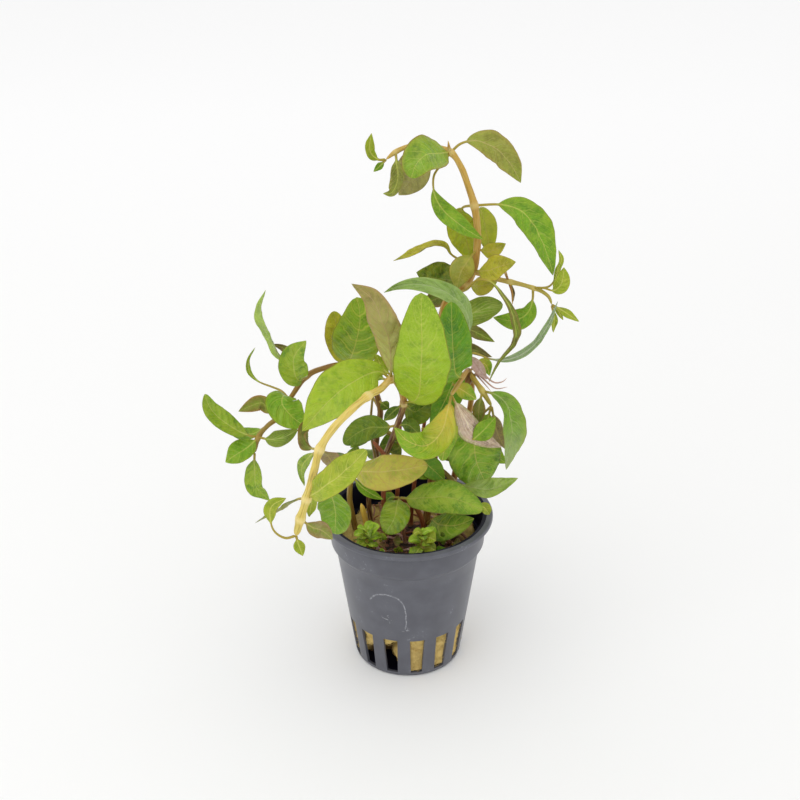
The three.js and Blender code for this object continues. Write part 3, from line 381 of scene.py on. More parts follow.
stems = {
    "tall": dict(node="tall_stem", foot=1.25, tip=0.55, taper=4, rings=[3, 7, 11, 14, 17],
        path=[(6, 4, 44.8), (8, 6, 62), (9.5, 8, 82), (9.5, 9, 100), (10.5, 8.5, 113), (12, 8, 121),
              (15, 8, 124), (18, 8, 127), (20, 8, 131), (21, 8, 138), (21, 8, 144), (20, 9, 151),
              (18, 10, 157), (16, 11, 162), (13, 12, 166), (7, 13, 167.6), (1, 13, 167.6),
              (-3, 12.8, 166), (-5.8, 12, 164)],
        small=[
            dict(at=18, skin="youngLime", width=3.6, face=(0.5, -0.8, 0.3), path=[(-8, 12, 164),
                 (-10, 11, 166), (-10.5, 11, 168.5), (-9.8, 11, 172)]),
            dict(at=18, skin="freshGreen", width=2, face=(0.3, -0.9, 0.3), path=[(-7.5, 13, 162),
                 (-9.5, 13.5, 160)]),
            dict(at=11, skin="oliveGreen", width=7, face=(0.2, -0.9, 0.3), path=[(22.2, 14, 147.5),
                 (24.5, 16, 140), (25.5, 16.5, 133)]),
            dict(at=9, skin="olive", width=7.5, face=(0, 0.9, -0.3), path=[(18, 5, 135), (16, 3.5, 132),
                 (15, 3.5, 127)]),
            dict(at=9, skin="olive", width=5, face=(0, -0.8, 0.6), path=[(25, 11.5, 136), (30, 13, 138)]),
            dict(at=7, skin="olive", width=6, face=(0, -0.9, 0.3), path=[(22.5, 13, 124.5),
                 (28, 16.5, 124.5)]),
            dict(at=6, skin="rolledOlive", width=6, face=(0, -0.8, 0.6), path=[(10.5, 11.5, 121.5),
                 (5, 13, 118.5)]),
            dict(at=4, skin="bronzeUnder", width=4.4, face=(0, -0.7, 0.7), path=[(19, 11, 111),
                 (27.5, 11.5, 106.5)]),
            dict(at=3, skin="brownTip", width=4, face=(0, -0.7, 0.7), path=[(18, 12.5, 104),
                 (27, 13.5, 100.5)]),
            dict(at=2, skin="deepGreen", width=7, face=(0.1, -0.9, 0.3), path=[(5, 6.5, 85.5),
                 (-0.5, 5.5, 88.5)]),
            dict(at=1, skin="freshGreen", width=5, face=(0, -0.8, 0.6), path=[(5.6, 3, 65),
                 (2, 2, 64)])]),
    "side": dict(node="side_shoot", foot=0.9, tip=0.5, taper=1, rings=[3, 5], grows=("tall", 8),
        path=[(24, 10, 129), (28, 11, 127.3), (31.5, 11, 126.5), (35.5, 11, 125.5), (38.5, 11, 124.5),
              (41, 11, 123.5), (43.5, 11, 121.5), (44.5, 11, 119)],
        small=[
            dict(at=8, skin="youngLime", width=2.6, face=(0, -0.8, 0.6), path=[(46.8, 9, 118.3),
                 (52.6, 7, 115)]),
            dict(at=8, skin="youngLime", width=2.4, face=(0.3, -0.9, 0.2), path=[(45.2, 9.5, 115),
                 (45, 8, 111)]),
            dict(at=8, skin="youngLime", width=1.8, face=(0, -0.9, 0.3), path=[(46.4, 12, 117),
                 (48.4, 12, 113.5)]),
            dict(at=5, skin="youngLime", width=2.4, face=(0.5, -0.8, 0.2), petiole=0.4,
                 path=[(43, 11, 124.8), (44.6, 10, 127), (45.6, 10, 131), (46.4, 10, 134),
                 (45.5, 10, 137)]),
            dict(at=3, skin="brownTip", width=1.2, face=(0, -1, 0), path=[(32.5, 12, 123),
                 (32.8, 12.5, 119.5)])]),
    "front": dict(node="front_stem", foot=0.85, tip=1.15, taper=1, rings=[5, 7, 9, 12, 14, 15],
        path=[(-12, 6, 44.8), (-12.5, 5, 55), (-9, 3, 66), (-5.5, 0, 76.5), (-3, -4, 85.5), (-1, -8, 95),
              (-2.5, -14, 104), (-4.5, -18, 107.5), (-7.5, -24, 107.2), (-11, -30, 107.8),
              (-16, -36.4, 106), (-20.5, -40, 102.5), (-24, -41.8, 97.3), (-25.5, -43, 92),
              (-28, -44, 83), (-30, -44, 76.5), (-31.5, -44, 71)],
        small=[
            dict(at=16, skin="youngLime", width=3.4, face=(0.2, -0.9, 0.3), path=[(-31, -44, 68.5),
                 (-29.8, -44.5, 64.5)]),
            dict(at=16, skin="youngLime", width=4, face=(-0.3, -0.8, 0.4), petiole=0.5,
                 path=[(-34.5, -44, 70.2), (-37.5, -43.5, 72), (-38.6, -43, 76), (-38, -42, 79.5),
                 (-34, -41, 81.5)]),
            dict(at=15, skin="pinkBrown", width=5, face=(0, -0.8, 0.5), path=[(-27, -42, 72.5),
                 (-24.5, -40.5, 70.5), (-21.5, -39, 66.5)]),
            dict(at=14, skin="youngLime", width=3.4, face=(0.4, -0.8, 0.2), path=[(-27, -40.5, 80),
                 (-28, -39, 74)]),
            dict(at=14, skin="deepGreen", width=4.6, face=(-0.2, 0.4, 0.8), path=[(-31, -40, 80.5),
                 (-37, -34, 73.5), (-45, -30, 66.5)]),
            dict(at=12, skin="pinkBrown", width=5.4, face=(0.2, 0.9, -0.2), path=[(-22, -36.5, 92.5),
                 (-20, -33, 83.5)]),
            dict(at=12, skin="glossyGreen", width=3.4, face=(-0.4, -0.8, 0.2), path=[(-27.5, -37.5, 92.5),
                 (-30, -35, 87.5), (-29.5, -33.5, 81)]),
            dict(at=5, skin="deepGreen", width=3.4, face=(0, -0.9, 0.3), path=[(-4, -9.5, 93),
                 (-7, -9, 89.5)]),
            dict(at=4, skin="deepGreen", width=5.2, face=(0.1, -0.9, 0.4), path=[(0.6, -7.5, 87.2),
                 (4.2, -10, 84.6)])]),
    "left": dict(node="left_stem", foot=1.15, tip=0.7, taper=1, rings=[6, 8, 10, 12],
        path=[(-4, 12, 44.8), (-7.5, 12, 57), (-10, 11.5, 66), (-9.7, 11, 75.5), (-8.5, 10, 83.5),
              (-11, 9, 93), (-18.5, 7.5, 100.5), (-26.5, 5, 100.5), (-31, 4, 98.5), (-36.5, 3, 91),
              (-40, 2, 85.5), (-43.5, 1, 83), (-46.5, 0, 79.5), (-48, 0, 74)],
        small=[
            dict(at=9, skin="glossyGreen", width=1.5, face=(0.6, -0.7, 0.2), petiole=0.45,
                 path=[(-39, 5, 93), (-42, 6, 94), (-46.3, 6, 96), (-48.8, 6, 99), (-49, 6, 103),
                 (-46.5, 6, 107.5)]),
            dict(at=10, skin="brownKite", width=5, face=(0, -0.9, 0.4), path=[(-43.5, 5, 86.5),
                 (-45.5, 6, 88.5), (-49, 6, 87.5), (-53, 5, 86)]),
            dict(at=11, skin="freshGreen", width=4.4, face=(0, -0.6, 0.8), path=[(-49.5, 4, 78.5),
                 (-57.5, 5, 79)]),
            dict(at=12, skin="striped", width=5.4, face=(0, -0.8, 0.6), path=[(-42, -3, 80.2),
                 (-38, -4, 81.5), (-33.5, -3.5, 84)]),
            dict(at=8, skin="brownTip", width=2.8, face=(0.2, -0.9, 0.3), path=[(-34.5, 8, 103),
                 (-38.5, 9, 106), (-42, 9, 107.3)]),
            dict(at=4, skin="freshGreen", width=8, face=(-0.2, 0, 1), path=[(-12, 14, 88), (-18, 19, 91),
                 (-25, 23, 89.5)]),
            dict(at=2, skin="deepGreen", width=8, face=(0, 0, 1), path=[(-9.5, 17, 62), (-10, 22, 63),
                 (-12, 28, 59)])]),
    "lowRight": dict(node="low_right_stem", foot=1.15, tip=0.7, taper=1, rings=[2, 4, 6],
        path=[(13, 9, 44.8), (16, 11, 62), (19.5, 11, 80), (20.5, 9, 92), (19, 5, 99.5),
              (16.5, -5, 101.5), (13, -14, 100.5)],
        small=[
            dict(at=1, skin="freshGreen", width=8, face=(0, -0.8, 0.5), path=[(20, 8, 66.5),
                 (26.5, 7, 69.5), (32, 6, 66.5)]),
            dict(at=2, skin="freshGreen", width=8, face=(0, -0.2, 1), path=[(22, 15, 77), (26, 21, 76),
                 (29, 26, 71)]),
            dict(at=4, skin="yellowing", width=3.6, face=(0.2, -0.9, 0.2), path=[(24, 7.5, 101),
                 (26, 8, 96.5)]),
            dict(at=1, skin="deepGreen", width=7, face=(0, -0.8, 0.6), path=[(13, 13.5, 67.5),
                 (8.5, 15, 68)])]),
    "lowShoot": dict(node="low_right_shoot", foot=0.9, tip=0.7, taper=1, rings=[1], grows=("lowRight", 4),
        path=[(23, -2, 96), (26, -1, 90.5)],
        small=[
            dict(at=1, skin="rolledOlive", width=4, face=(0, -0.9, 0.3), path=[(22, -5, 92.5),
                 (21.7, -6, 86.5)]),
            dict(at=2, skin="freshGreen", width=6.4, face=(0, -0.8, 0.5), path=[(23.7, -3, 84),
                 (19.7, -4, 80)]),
            dict(at=2, skin="pinkBrown", width=4.6, face=(0, 0.9, -0.3), path=[(28.3, 1.1, 80),
                 (31, 1.6, 74)])]),
    "leaning": dict(node="leaning_stem", foot=1, tip=0.7, taper=1, rings=[1, 4],
        path=[(16, 5, 44.8), (14.5, 4, 61), (5, 4.5, 69.5), (-2, 5, 75.5), (-8, 5.5, 79.5)],
        small=[
            dict(at=4, skin="freshGreen", width=5, face=(0, -0.8, 0.5), path=[(-12, 4, 79.5),
                 (-18, 3, 74)]),
            dict(at=3, skin="deepGreen", width=6.4, face=(0, -0.8, 0.5), path=[(-4, 8, 73.5),
                 (-9, 8.5, 71.5)]),
            dict(at=2, skin="deepGreen", width=5.4, face=(0, -0.9, 0.3), path=[(3.5, 8.5, 71.5),
                 (2, 10, 76)])]),
    "shortLeft": dict(node="short_left_stem", foot=1, tip=0.8, taper=1, rings=[2],
        path=[(-17, 2, 44.8), (-18.5, 0, 57), (-17.5, -3, 68)],
        small=[
            dict(at=2, skin="freshGreen", width=3.4, face=(0, -0.7, 0.7), path=[(-15, -5, 65),
                 (-11.7, -6.5, 63), (-7.5, -8, 61.5)]),
            dict(at=2, skin="deepGreen", width=6, face=(0, 0, 1), path=[(-21, 1, 71), (-26, 6, 70)]),
            dict(at=2, skin="deepGreen", width=5, face=(0, -0.9, 0.3), path=[(-17, -1, 72),
                 (-15.5, 1, 76)])]),
    "arc": dict(node="arched_stem", foot=0.8, tip=0.8, taper=1, rings=[3],
        path=[(5.4, -1, 44.8), (4.6, -1.2, 50), (1.8, -1.3, 55.8), (-2.4, -1.5, 58.3)],
        small=[
            dict(at=3, skin="freshGreen", width=4.4, face=(0, -0.7, 0.7), path=[(-5.5, 0, 57.5),
                 (-8, 1, 53.5)])]),
}

leaves = {
    "crown_leaf_left": dict(stem="tall", at=14, skin="crownGreen", width=11.5, face=(0.05, -0.75, 0.65),
        petiole=0.08, blunt=True, fold=0.22,
        path=[(9, 8, 166.6), (5.5, 4, 167), (2.8, 1.5, 165), (1.5, 0.5, 161.5)]),
    "crown_leaf_right": dict(stem="tall", at=14, skin="oliveBronze", width=9, face=(0.2, -0.8, 0.55),
        fold=0.2,
        path=[(16, 13, 168.3), (20.5, 14, 168.8), (26.5, 15, 166), (31.2, 15, 161), (34, 15, 156)]),
    "crown_leaf_under": dict(stem="tall", at=16, skin="crownUnder", width=10.4, face=(0.2, 0.9, -0.2),
        petiole=0.15, fold=0.1,
        path=[(2, 16, 163.5), (2, 16, 158.5), (0.2, 15, 155.2), (-2.2, 14, 152.8)]),
    "crown_leaf_hanging": dict(stem="tall", at=17, skin="mutedOlive", width=4.4, face=(-0.3, -0.9, 0.2),
        petiole=0.15, fold=0.3,
        path=[(-2.6, 10.5, 163), (-2.3, 9, 160), (-3.2, 8.5, 156.5), (-4.4, 8.5, 155), (-6.7, 8, 155)]),
    "crown_leaf_long": dict(stem="tall", at=14, skin="freshGreen", width=5.6, face=(-0.3, -0.75, 0.6),
        petiole=0.38, fold=0.28,
        path=[(9.8, 8, 163), (8, 6, 160.5), (8.3, 4.5, 155.5), (11, 3.5, 151), (16.5, 2.5, 146.5),
              (22.5, 3, 142.5)]),
    "upper_leaf_right": dict(stem="tall", at=11, skin="freshGreen", width=10, face=(0.4, -0.8, 0.4),
        petiole=0.2, fold=0.24,
        path=[(28, 11, 150.6), (33.5, 11, 149), (37.2, 10, 145.5), (39.8, 9, 141), (42, 8.5, 136),
              (44, 8, 129.5)]),
    "upper_leaf_back": dict(stem="tall", at=11, skin="oliveGreen", width=9.4, face=(0, -0.9, 0.4),
        petiole=0.2,
        path=[(16.8, 12, 149.5), (16.2, 15, 145), (18.2, 17, 138), (20.3, 17.5, 130)]),
    "narrow_leaf_left": dict(stem="tall", at=8, skin="olive", width=4.2, face=(0, -0.2, 1), petiole=0.3,
        fold=0.2,
        path=[(17, 11, 133), (13.8, 12, 134.8), (12, 12, 137.3), (8.7, 11, 138.5), (2.4, 10, 136.3),
              (-4, 9, 134)]),
    "dark_leaf_left": dict(stem="tall", at=7, skin="spottedDark", width=10.5, face=(0, -0.85, 0.5),
        petiole=0.2,
        path=[(14.8, 12, 126.5), (10, 13, 127), (6.5, 12.5, 128), (3, 11.5, 129.5)]),
    "olive_leaf_right": dict(stem="tall", at=8, skin="olive", width=7.5, face=(-0.1, -0.8, 0.6),
        petiole=0.15,
        path=[(24, 4.5, 132.5), (27.5, 2.5, 134.5), (32, 0.5, 136.5)]),
    "ribbon_leaf_bronze": dict(stem="tall", at=6, skin="bronzeUnder", width=2.6, face=(0.6, -0.7, 0.3),
        petiole=0.3, fold=0.35,
        path=[(18, 3.5, 127), (21, 0.5, 131), (24.5, -1, 131), (28.5, -1.5, 126.5), (31.5, -1.5, 121),
              (32.5, -1.5, 116), (31.5, -1, 111), (28, -0.5, 105.5), (25, 0, 98)]),
    "ribbon_leaf_pale": dict(stem="tall", at=3, skin="palePink", width=2.6, face=(-0.5, -0.8, 0.3),
        petiole=0.4, fold=0.35,
        path=[(15, 5.5, 104.5), (20.5, 3, 106.5), (25.5, 3, 104.5), (30.5, 3.5, 104), (36, 4, 106),
              (40.3, 4, 110.5), (43.3, 4, 116.5), (45.4, 4, 123)]),
    "striped_leaf": dict(stem="tall", at=4, skin="striped", width=8, face=(0, -0.9, 0.45), petiole=0.25,
        blunt=True,
        path=[(15, 6, 115.5), (19.5, 5, 118.5), (24.5, 5, 120.5), (29, 5, 121.5)]),
    "arching_leaf": dict(stem="tall", at=3, skin="paleTeal", width=5.4, face=(0.6, -0.75, 0.3),
        petiole=0.4, fold=0.2,
        path=[(15, 0, 106), (18.3, -7, 117.5), (17, -11, 126), (12.5, -13, 131.5), (7, -14, 134.5),
              (1.5, -14.5, 135.3), (-3, -14.5, 134.5), (-6.5, -14, 132.5)]),
    "side_leaf_hanging": dict(stem="side", at=5, skin="freshGreen", width=6.4, face=(0.2, -0.9, 0.3),
        petiole=0.2, fold=0.2,
        path=[(38.5, 11, 120.5), (37, 10, 116.5), (33, 9.5, 114.5), (26.5, 9.5, 115.5)]),
    "side_leaf_lime": dict(stem="side", at=5, skin="youngLime", width=5.2, face=(0.1, -0.9, 0.4),
        petiole=0.42, fold=0.2,
        path=[(41.5, 9, 125.2), (44.3, 7.4, 125), (46.1, 6.8, 126.8), (46.8, 6.8, 129.4),
              (47, 7, 132.5)]),
    "front_leaf_large": dict(stem="front", at=5, skin="broadLime", width=16, face=(0, -1, -0.1),
        petiole=0.1, blunt=True, fold=0.1,
        path=[(3, -16, 100.5), (4, -24.5, 114), (4.2, -28, 123.5), (4, -28, 130.5), (4, -26, 137)]),
    "front_leaf_bronze": dict(stem="front", at=7, skin="pinkBronze", width=9.5, face=(0.3, 0.9, -0.3),
        petiole=0.1, fold=0.14,
        path=[(-4.5, -20.5, 112), (-4.7, -22, 119.8), (-6.8, -25, 128.7), (-9.4, -25, 135),
              (-15, -24, 139)]),
    "front_leaf_left": dict(stem="front", at=7, skin="smoothLime", width=14.2, face=(-0.1, -0.85, 0.5),
        petiole=0.08, fold=0.18,
        path=[(-8, -18.8, 110.3), (-14.5, -23.8, 109.8), (-21, -28.8, 106.8), (-29.5, -33, 98.4)]),
    "front_leaf_low": dict(stem="front", at=14, skin="youngLime", width=8.6, face=(-0.3, -0.7, 0.6),
        petiole=0.1, blunt=True, fold=0.2,
        path=[(-23.2, -48, 88.7), (-18, -49, 93.5), (-14, -48, 97), (-11, -46, 99.5)]),
    "front_leaf_rim": dict(stem="front", at=14, skin="freshGreen", width=10.2, face=(-0.2, -0.9, 0.3),
        petiole=0.34, blunt=True, fold=0.14,
        path=[(-25, -40, 83), (-22, -35, 79), (-21, -32, 71), (-21.5, -29, 62)]),
    "rolled_leaf": dict(stem="front", at=12, skin="rolledOlive", width=4, face=(-0.5, -0.8, 0.2),
        petiole=0.25, fold=0.9,
        path=[(-27.2, -37, 95.5), (-28.2, -33.5, 96), (-28.2, -31, 98), (-26, -29, 102)]),
    "centre_leaf_dark": dict(stem="front", at=4, skin="deepGreen", width=8, face=(0, -0.85, 0.5),
        petiole=0.15, blunt=True,
        path=[(-7, -1.5, 83.5), (-11.5, -0.5, 83), (-16.3, 0.5, 80), (-20, 1, 76.5)]),
    "centre_leaf_small": dict(stem="front", at=5, skin="deepGreen", width=8.6, face=(0, -0.9, 0.4),
        petiole=0.15,
        path=[(2.4, -4.6, 90.4), (5, -2.2, 90.8), (8.4, -0.8, 93)]),
    "left_leaf_round": dict(stem="left", at=6, skin="yellowVeined", width=14.5, face=(0, -0.95, 0.3),
        petiole=0.08, blunt=True, fold=0.1,
        path=[(-17.5, 3, 104), (-15, -2, 113), (-13.7, -4, 121), (-14.5, -4, 127.5)]),
    "left_leaf_olive": dict(stem="left", at=6, skin="olive", width=8, face=(0, -0.95, 0.2), petiole=0.08,
        blunt=True, fold=0.12,
        path=[(-20.4, 10, 103), (-21.3, 10.5, 109.5), (-22.3, 10.5, 117.5)]),
    "left_leaf_upright": dict(stem="left", at=8, skin="glossyGreen", width=9.2, face=(-0.1, -0.9, 0.4),
        petiole=0.15, fold=0.2,
        path=[(-33, 0, 99), (-34, -2, 103), (-33.8, -2.5, 108), (-30, -2, 113)]),
    "left_leaf_middle": dict(stem="left", at=9, skin="freshGreen", width=10.6, face=(0.1, -0.6, 0.75),
        petiole=0.2, blunt=True, fold=0.16,
        path=[(-37.8, -1.5, 94.4), (-38, -4.8, 93.4), (-35.6, -6.6, 90.6), (-31.4, -7.2, 87.2)]),
    "left_leaf_tall": dict(stem="left", at=8, skin="paleGrey", width=5, face=(-0.75, -0.6, 0.2),
        petiole=0.2, fold=0.3,
        path=[(-36, 4.5, 102), (-39, 4.5, 105), (-41.3, 4, 110), (-43.3, 4, 115.5), (-44, 4, 121),
              (-42, 4, 127)]),
    "left_leaf_outer": dict(stem="left", at=12, skin="glossyGreen", width=6, face=(0.1, -0.75, 0.65),
        petiole=0.15, blunt=True, fold=0.3,
        path=[(-49.5, -1, 80.7), (-52.6, -1.4, 82.6), (-57, -1.8, 86.2), (-60.4, -2.2, 90.8),
              (-61.6, -2.6, 95.8)]),
    "left_leaf_cup": dict(stem="left", at=12, skin="freshGreen", width=7.2, face=(0, -0.8, 0.6),
        petiole=0.1, fold=0.35,
        path=[(-49.5, -1.5, 77), (-53, -2.5, 75), (-57, -2.5, 72)]),
    "left_leaf_hanging": dict(stem="left", at=13, skin="glossyGreen", width=7, face=(-0.4, -0.85, 0.2),
        petiole=0.12, fold=0.3,
        path=[(-48.3, -1, 68.5), (-47.8, -1.5, 62.5), (-44, -1, 57)]),
    "right_leaf_broad": dict(stem="lowRight", at=5, skin="bandedGreen", width=11.5,
        face=(0.1, -0.95, 0.3), petiole=0.1, blunt=True, fold=0.12,
        path=[(14.2, -12, 107), (13.3, -17, 116), (12.8, -18.5, 124), (12.5, -18.5, 131.5)]),
    "right_leaf_pink": dict(stem="lowRight", at=6, skin="pinkStriped", width=7.6, face=(-0.5, 0.8, -0.4),
        petiole=0.1, fold=0.3,
        path=[(15, -14, 96.5), (18.5, -12.5, 89.5), (23.5, -10, 84), (29, -7.5, 79.5)]),
    "right_leaf_yellow": dict(stem="lowRight", at=6, skin="yellowing", width=6.4, face=(0.1, -0.95, 0.2),
        petiole=0.12, blunt=True, fold=0.2,
        path=[(12.4, -14.6, 96), (11.6, -14.4, 87.2), (10.6, -14, 78.4)]),
    "right_leaf_curling": dict(stem="lowRight", at=6, skin="yellowing", width=9.4,
        face=(-0.2, -0.75, 0.65), petiole=0.12, fold=0.25,
        path=[(11.9, -18.5, 97.4), (10, -21.5, 92), (5.8, -24.4, 89.2), (0.6, -26.3, 91.4),
              (-3.7, -27, 96.5)]),
    "right_leaf_folded": dict(stem="lowShoot", at=1, skin="foldedGrey", width=8.2, face=(0.4, -0.8, 0.4),
        petiole=0.08, fold=0.5,
        path=[(26.4, -4, 96), (29.2, -4, 94), (31.2, -4, 90.4), (32.2, -3, 83.5), (32, -2, 76),
              (31.2, -1, 68)]),
    "right_leaf_ribbed": dict(stem="lowShoot", at=2, skin="ribbedDark", width=17.5,
        face=(0.1, -0.9, 0.45), petiole=0.25, blunt=True, fold=0.08,
        path=[(23, 4, 84), (21.5, 3.7, 79), (21.5, 2.4, 71.5), (23.5, 4, 64.5), (25.3, 5.6, 59.6)]),
    "tan_leaf": dict(stem="shortLeft", at=2, skin="tanUnder", width=11.2, face=(0, 0.75, -0.65),
        petiole=0.12, blunt=True, fold=0.16,
        path=[(-14, -8, 71.5), (-8.3, -12, 73.5), (-0.7, -13, 75), (6.3, -12, 76)]),
    "rim_leaf_variegated": dict(stem="arc", at=3, skin="variegated", width=10.5, face=(0, -0.7, 0.7),
        petiole=0.1, blunt=True, fold=0.14,
        path=[(0.8, -4, 59.5), (5.5, -7, 61.5), (12, -9, 62.8), (18, -10, 61.5), (23.6, -10, 58.6)]),
    "rim_leaf_pale": dict(stem="leaning", at=1, skin="paleGrey", width=7, face=(0, -0.5, 0.85),
        petiole=0.2, fold=0.2,
        path=[(20, -1.5, 62), (26, -3.5, 62.5), (30.5, -4.5, 64.8), (34.7, -5, 67.3)]),
    "pot_leaf_front": dict(stem="arc", at=3, skin="glossyGreen", width=9.6, face=(-0.2, -0.8, 0.6),
        petiole=0.1, blunt=True, fold=0.15,
        path=[(-3.3, -5, 57.5), (-4, -8, 55), (-7, -10.5, 50.5)]),
    "pot_leaf_right": dict(stem="tall", at=0, skin="ribbedDark", width=11.6, face=(-0.3, -0.5, 0.8),
        petiole=0.25, fold=0.15,
        path=[(8, 0, 49), (10.2, -5, 50.4), (15, -8, 51.8), (21, -8.6, 54.8)]),
}


# Pot: one moulding, turned as a profile, with its slots left open and their edges walled

pot = dict(
    height=52.5, rimRadius=27.5, rimThickness=1.4, collarRadius=25, collarHeight=11, bodyTopRadius=23.4,
    bodyFootRadius=17.6, wall=1.0, floor=1.15, bands=(19.0, 25.0, 31.0, 37.0), slots=14, slotTurn=8.8,
    slotLow=1.6, slotHigh=15.6, slotWidthLow=3.6, slotWidthHigh=4.6, slotFlare=1.5, slotRows=7,
    slotColumns=6, ribColumns=8, shadePast=0.6, softening=0.14, softenedAngle=38)


def potProfile():
    # outer wall from the foot up, over the rim and down inside; True marks the rows that a slot opens
    top, collarFoot = pot["height"], pot["height"] - pot["collarHeight"]
    foot, shoulder, collar = pot["bodyFootRadius"], pot["bodyTopRadius"], pot["collarRadius"]
    rim, lip, wall = pot["rimRadius"], pot["rimThickness"], pot["wall"]

    def bodyRadius(height):
        return foot + (shoulder - foot) * height / collarFoot

    slotted = np.linspace(pot["slotLow"], pot["slotHigh"], pot["slotRows"])
    outer = [(foot * 0.55, 0.0), (foot - 1.3, 0.0), (foot - 0.55, 0.1), (foot - 0.12, 0.45),
             (foot + 0.1, 1.1)]
    outer = [(r, z, False) for r, z in outer] + [(bodyRadius(z), z, True) for z in slotted]
    outer += [(bodyRadius(z), z, False) for z in (*pot["bands"], collarFoot - 0.3)]
    outer += [(r, z, False) for r, z in (
        (shoulder + 0.12, collarFoot), (collar - 0.5, collarFoot + 1.25), (collar - 0.2, collarFoot + 1.6),
        (collar - 0.12, collarFoot + 2.1), (collar, top - lip), (rim - 0.25, top - lip),
        (rim, top - lip * 0.75), (rim, top - lip * 0.35), (rim - 0.25, top - 0.06), (rim - 0.7, top),
        (collar + 0.75, top), (collar + 0.5, top), (collar - 0.1, top - 0.1),
        (collar - wall + 0.2, top - 0.4), (collar - wall, top - 1.0),
        (collar - wall - 0.15, collarFoot + 2), (shoulder - wall, collarFoot + 0.3))]
    inner = [(bodyRadius(z) - wall, z, False) for z in pot["bands"][::-1]]
    inner += [(bodyRadius(z) - wall, z, True) for z in slotted[::-1]]
    inner += [(foot - wall, 1.5, False), (foot - wall - 0.5, 1.2, False), (foot * 0.5, pot["floor"], False)]
    return outer + inner


def makePot():
    profile = potProfile()
    slotSpan, ribSpan = pot["slotColumns"], pot["ribColumns"]
    perSlot = slotSpan + ribSpan
    columns = perSlot * pot["slots"]
    pitch = math.tau / pot["slots"]
    shape = bmesh.new()
    # rows past the rim, down the inside, take the copy of the plastic in painted shade
    shadeFrom = max(i for i, point in enumerate(profile) if point[0] > pot["collarRadius"] + pot["shadePast"])
    rows = []
    for radius, height, _ in profile:
        within = min(max((height - pot["slotLow"]) / (pot["slotHigh"] - pot["slotLow"]), 0), 1)
        width = pot["slotWidthLow"] + (pot["slotWidthHigh"] - pot["slotWidthLow"]) * within
        half = width / 2 / (pot["bodyFootRadius"] + pot["slotFlare"] * within)
        row = []
        for column in range(columns):
            slot, step = divmod(column, perSlot)
            turn = math.radians(pot["slotTurn"] - 90) + slot * pitch
            if step <= slotSpan:
                turn += half * (2 * step / slotSpan - 1)
            else:
                turn += half + (pitch - 2 * half) * (step - slotSpan) / ribSpan
            place = radius * mm * math.cos(turn), radius * mm * math.sin(turn), height * mm
            row.append(shape.verts.new(place))
        rows.append(row)
    for i, (low, high) in enumerate(zip(rows, rows[1:])):
        slotted = profile[i][2] and profile[i + 1][2]
        for column in range(columns):
            if not (slotted and column % perSlot < slotSpan):
                after = (column + 1) % columns
                face = shape.faces.new((low[column], low[after], high[after], high[column]))
                face.material_index = int(i > shadeFrom)
    for row, height in ((rows[0], 0.0), (rows[-1], pot["floor"])):
        middle = shape.verts.new((0, 0, height * mm))
        for column in range(columns):
            face = shape.faces.new((row[column], middle, row[(column + 1) % columns]))
            face.material_index = int(height > 0)

    # walls of each slot, from the outer opening to the inner one
    outside = [i for i, point in enumerate(profile) if point[2]]
    outside, inside = outside[:pot["slotRows"]], outside[pot["slotRows"]:][::-1]
    for slot in range(pot["slots"]):
        first = slot * perSlot
        border = [(0, first + k) for k in range(slotSpan)]
        border += [(k, first + slotSpan) for k in range(pot["slotRows"] - 1)]
        border += [(pot["slotRows"] - 1, first + slotSpan - k) for k in range(slotSpan)]
        border += [(pot["slotRows"] - 1 - k, first) for k in range(pot["slotRows"] - 1)]
        for (i, j), (k, m) in zip(border, border[1:] + border[:1]):
            shape.faces.new((rows[outside[i]][j], rows[outside[k]][m], rows[inside[k]][m],
                             rows[inside[i]][j]))
    bmesh.ops.recalc_face_normals(shape, faces=shape.faces)
    mesh = bpy.data.meshes.new("net_pot")
    shape.to_mesh(mesh)
    shape.free()
    piece = placed("net_pot", mesh)
    mesh.shade_smooth()
    mesh.materials.append(mouldedPolypropylene())
    # the second finish is the plastic in painted shade, for the inside of the pot
    mesh.materials.append(shadedPolypropylene())
    bevel = piece.modifiers.new("softened edges", "BEVEL")
    bevel.width = pot["softening"] * mm
    bevel.segments = 2
    bevel.limit_method = "ANGLE"
    bevel.angle_limit = math.radians(pot["softenedAngle"])
    bevel.harden_normals = True
    return piece


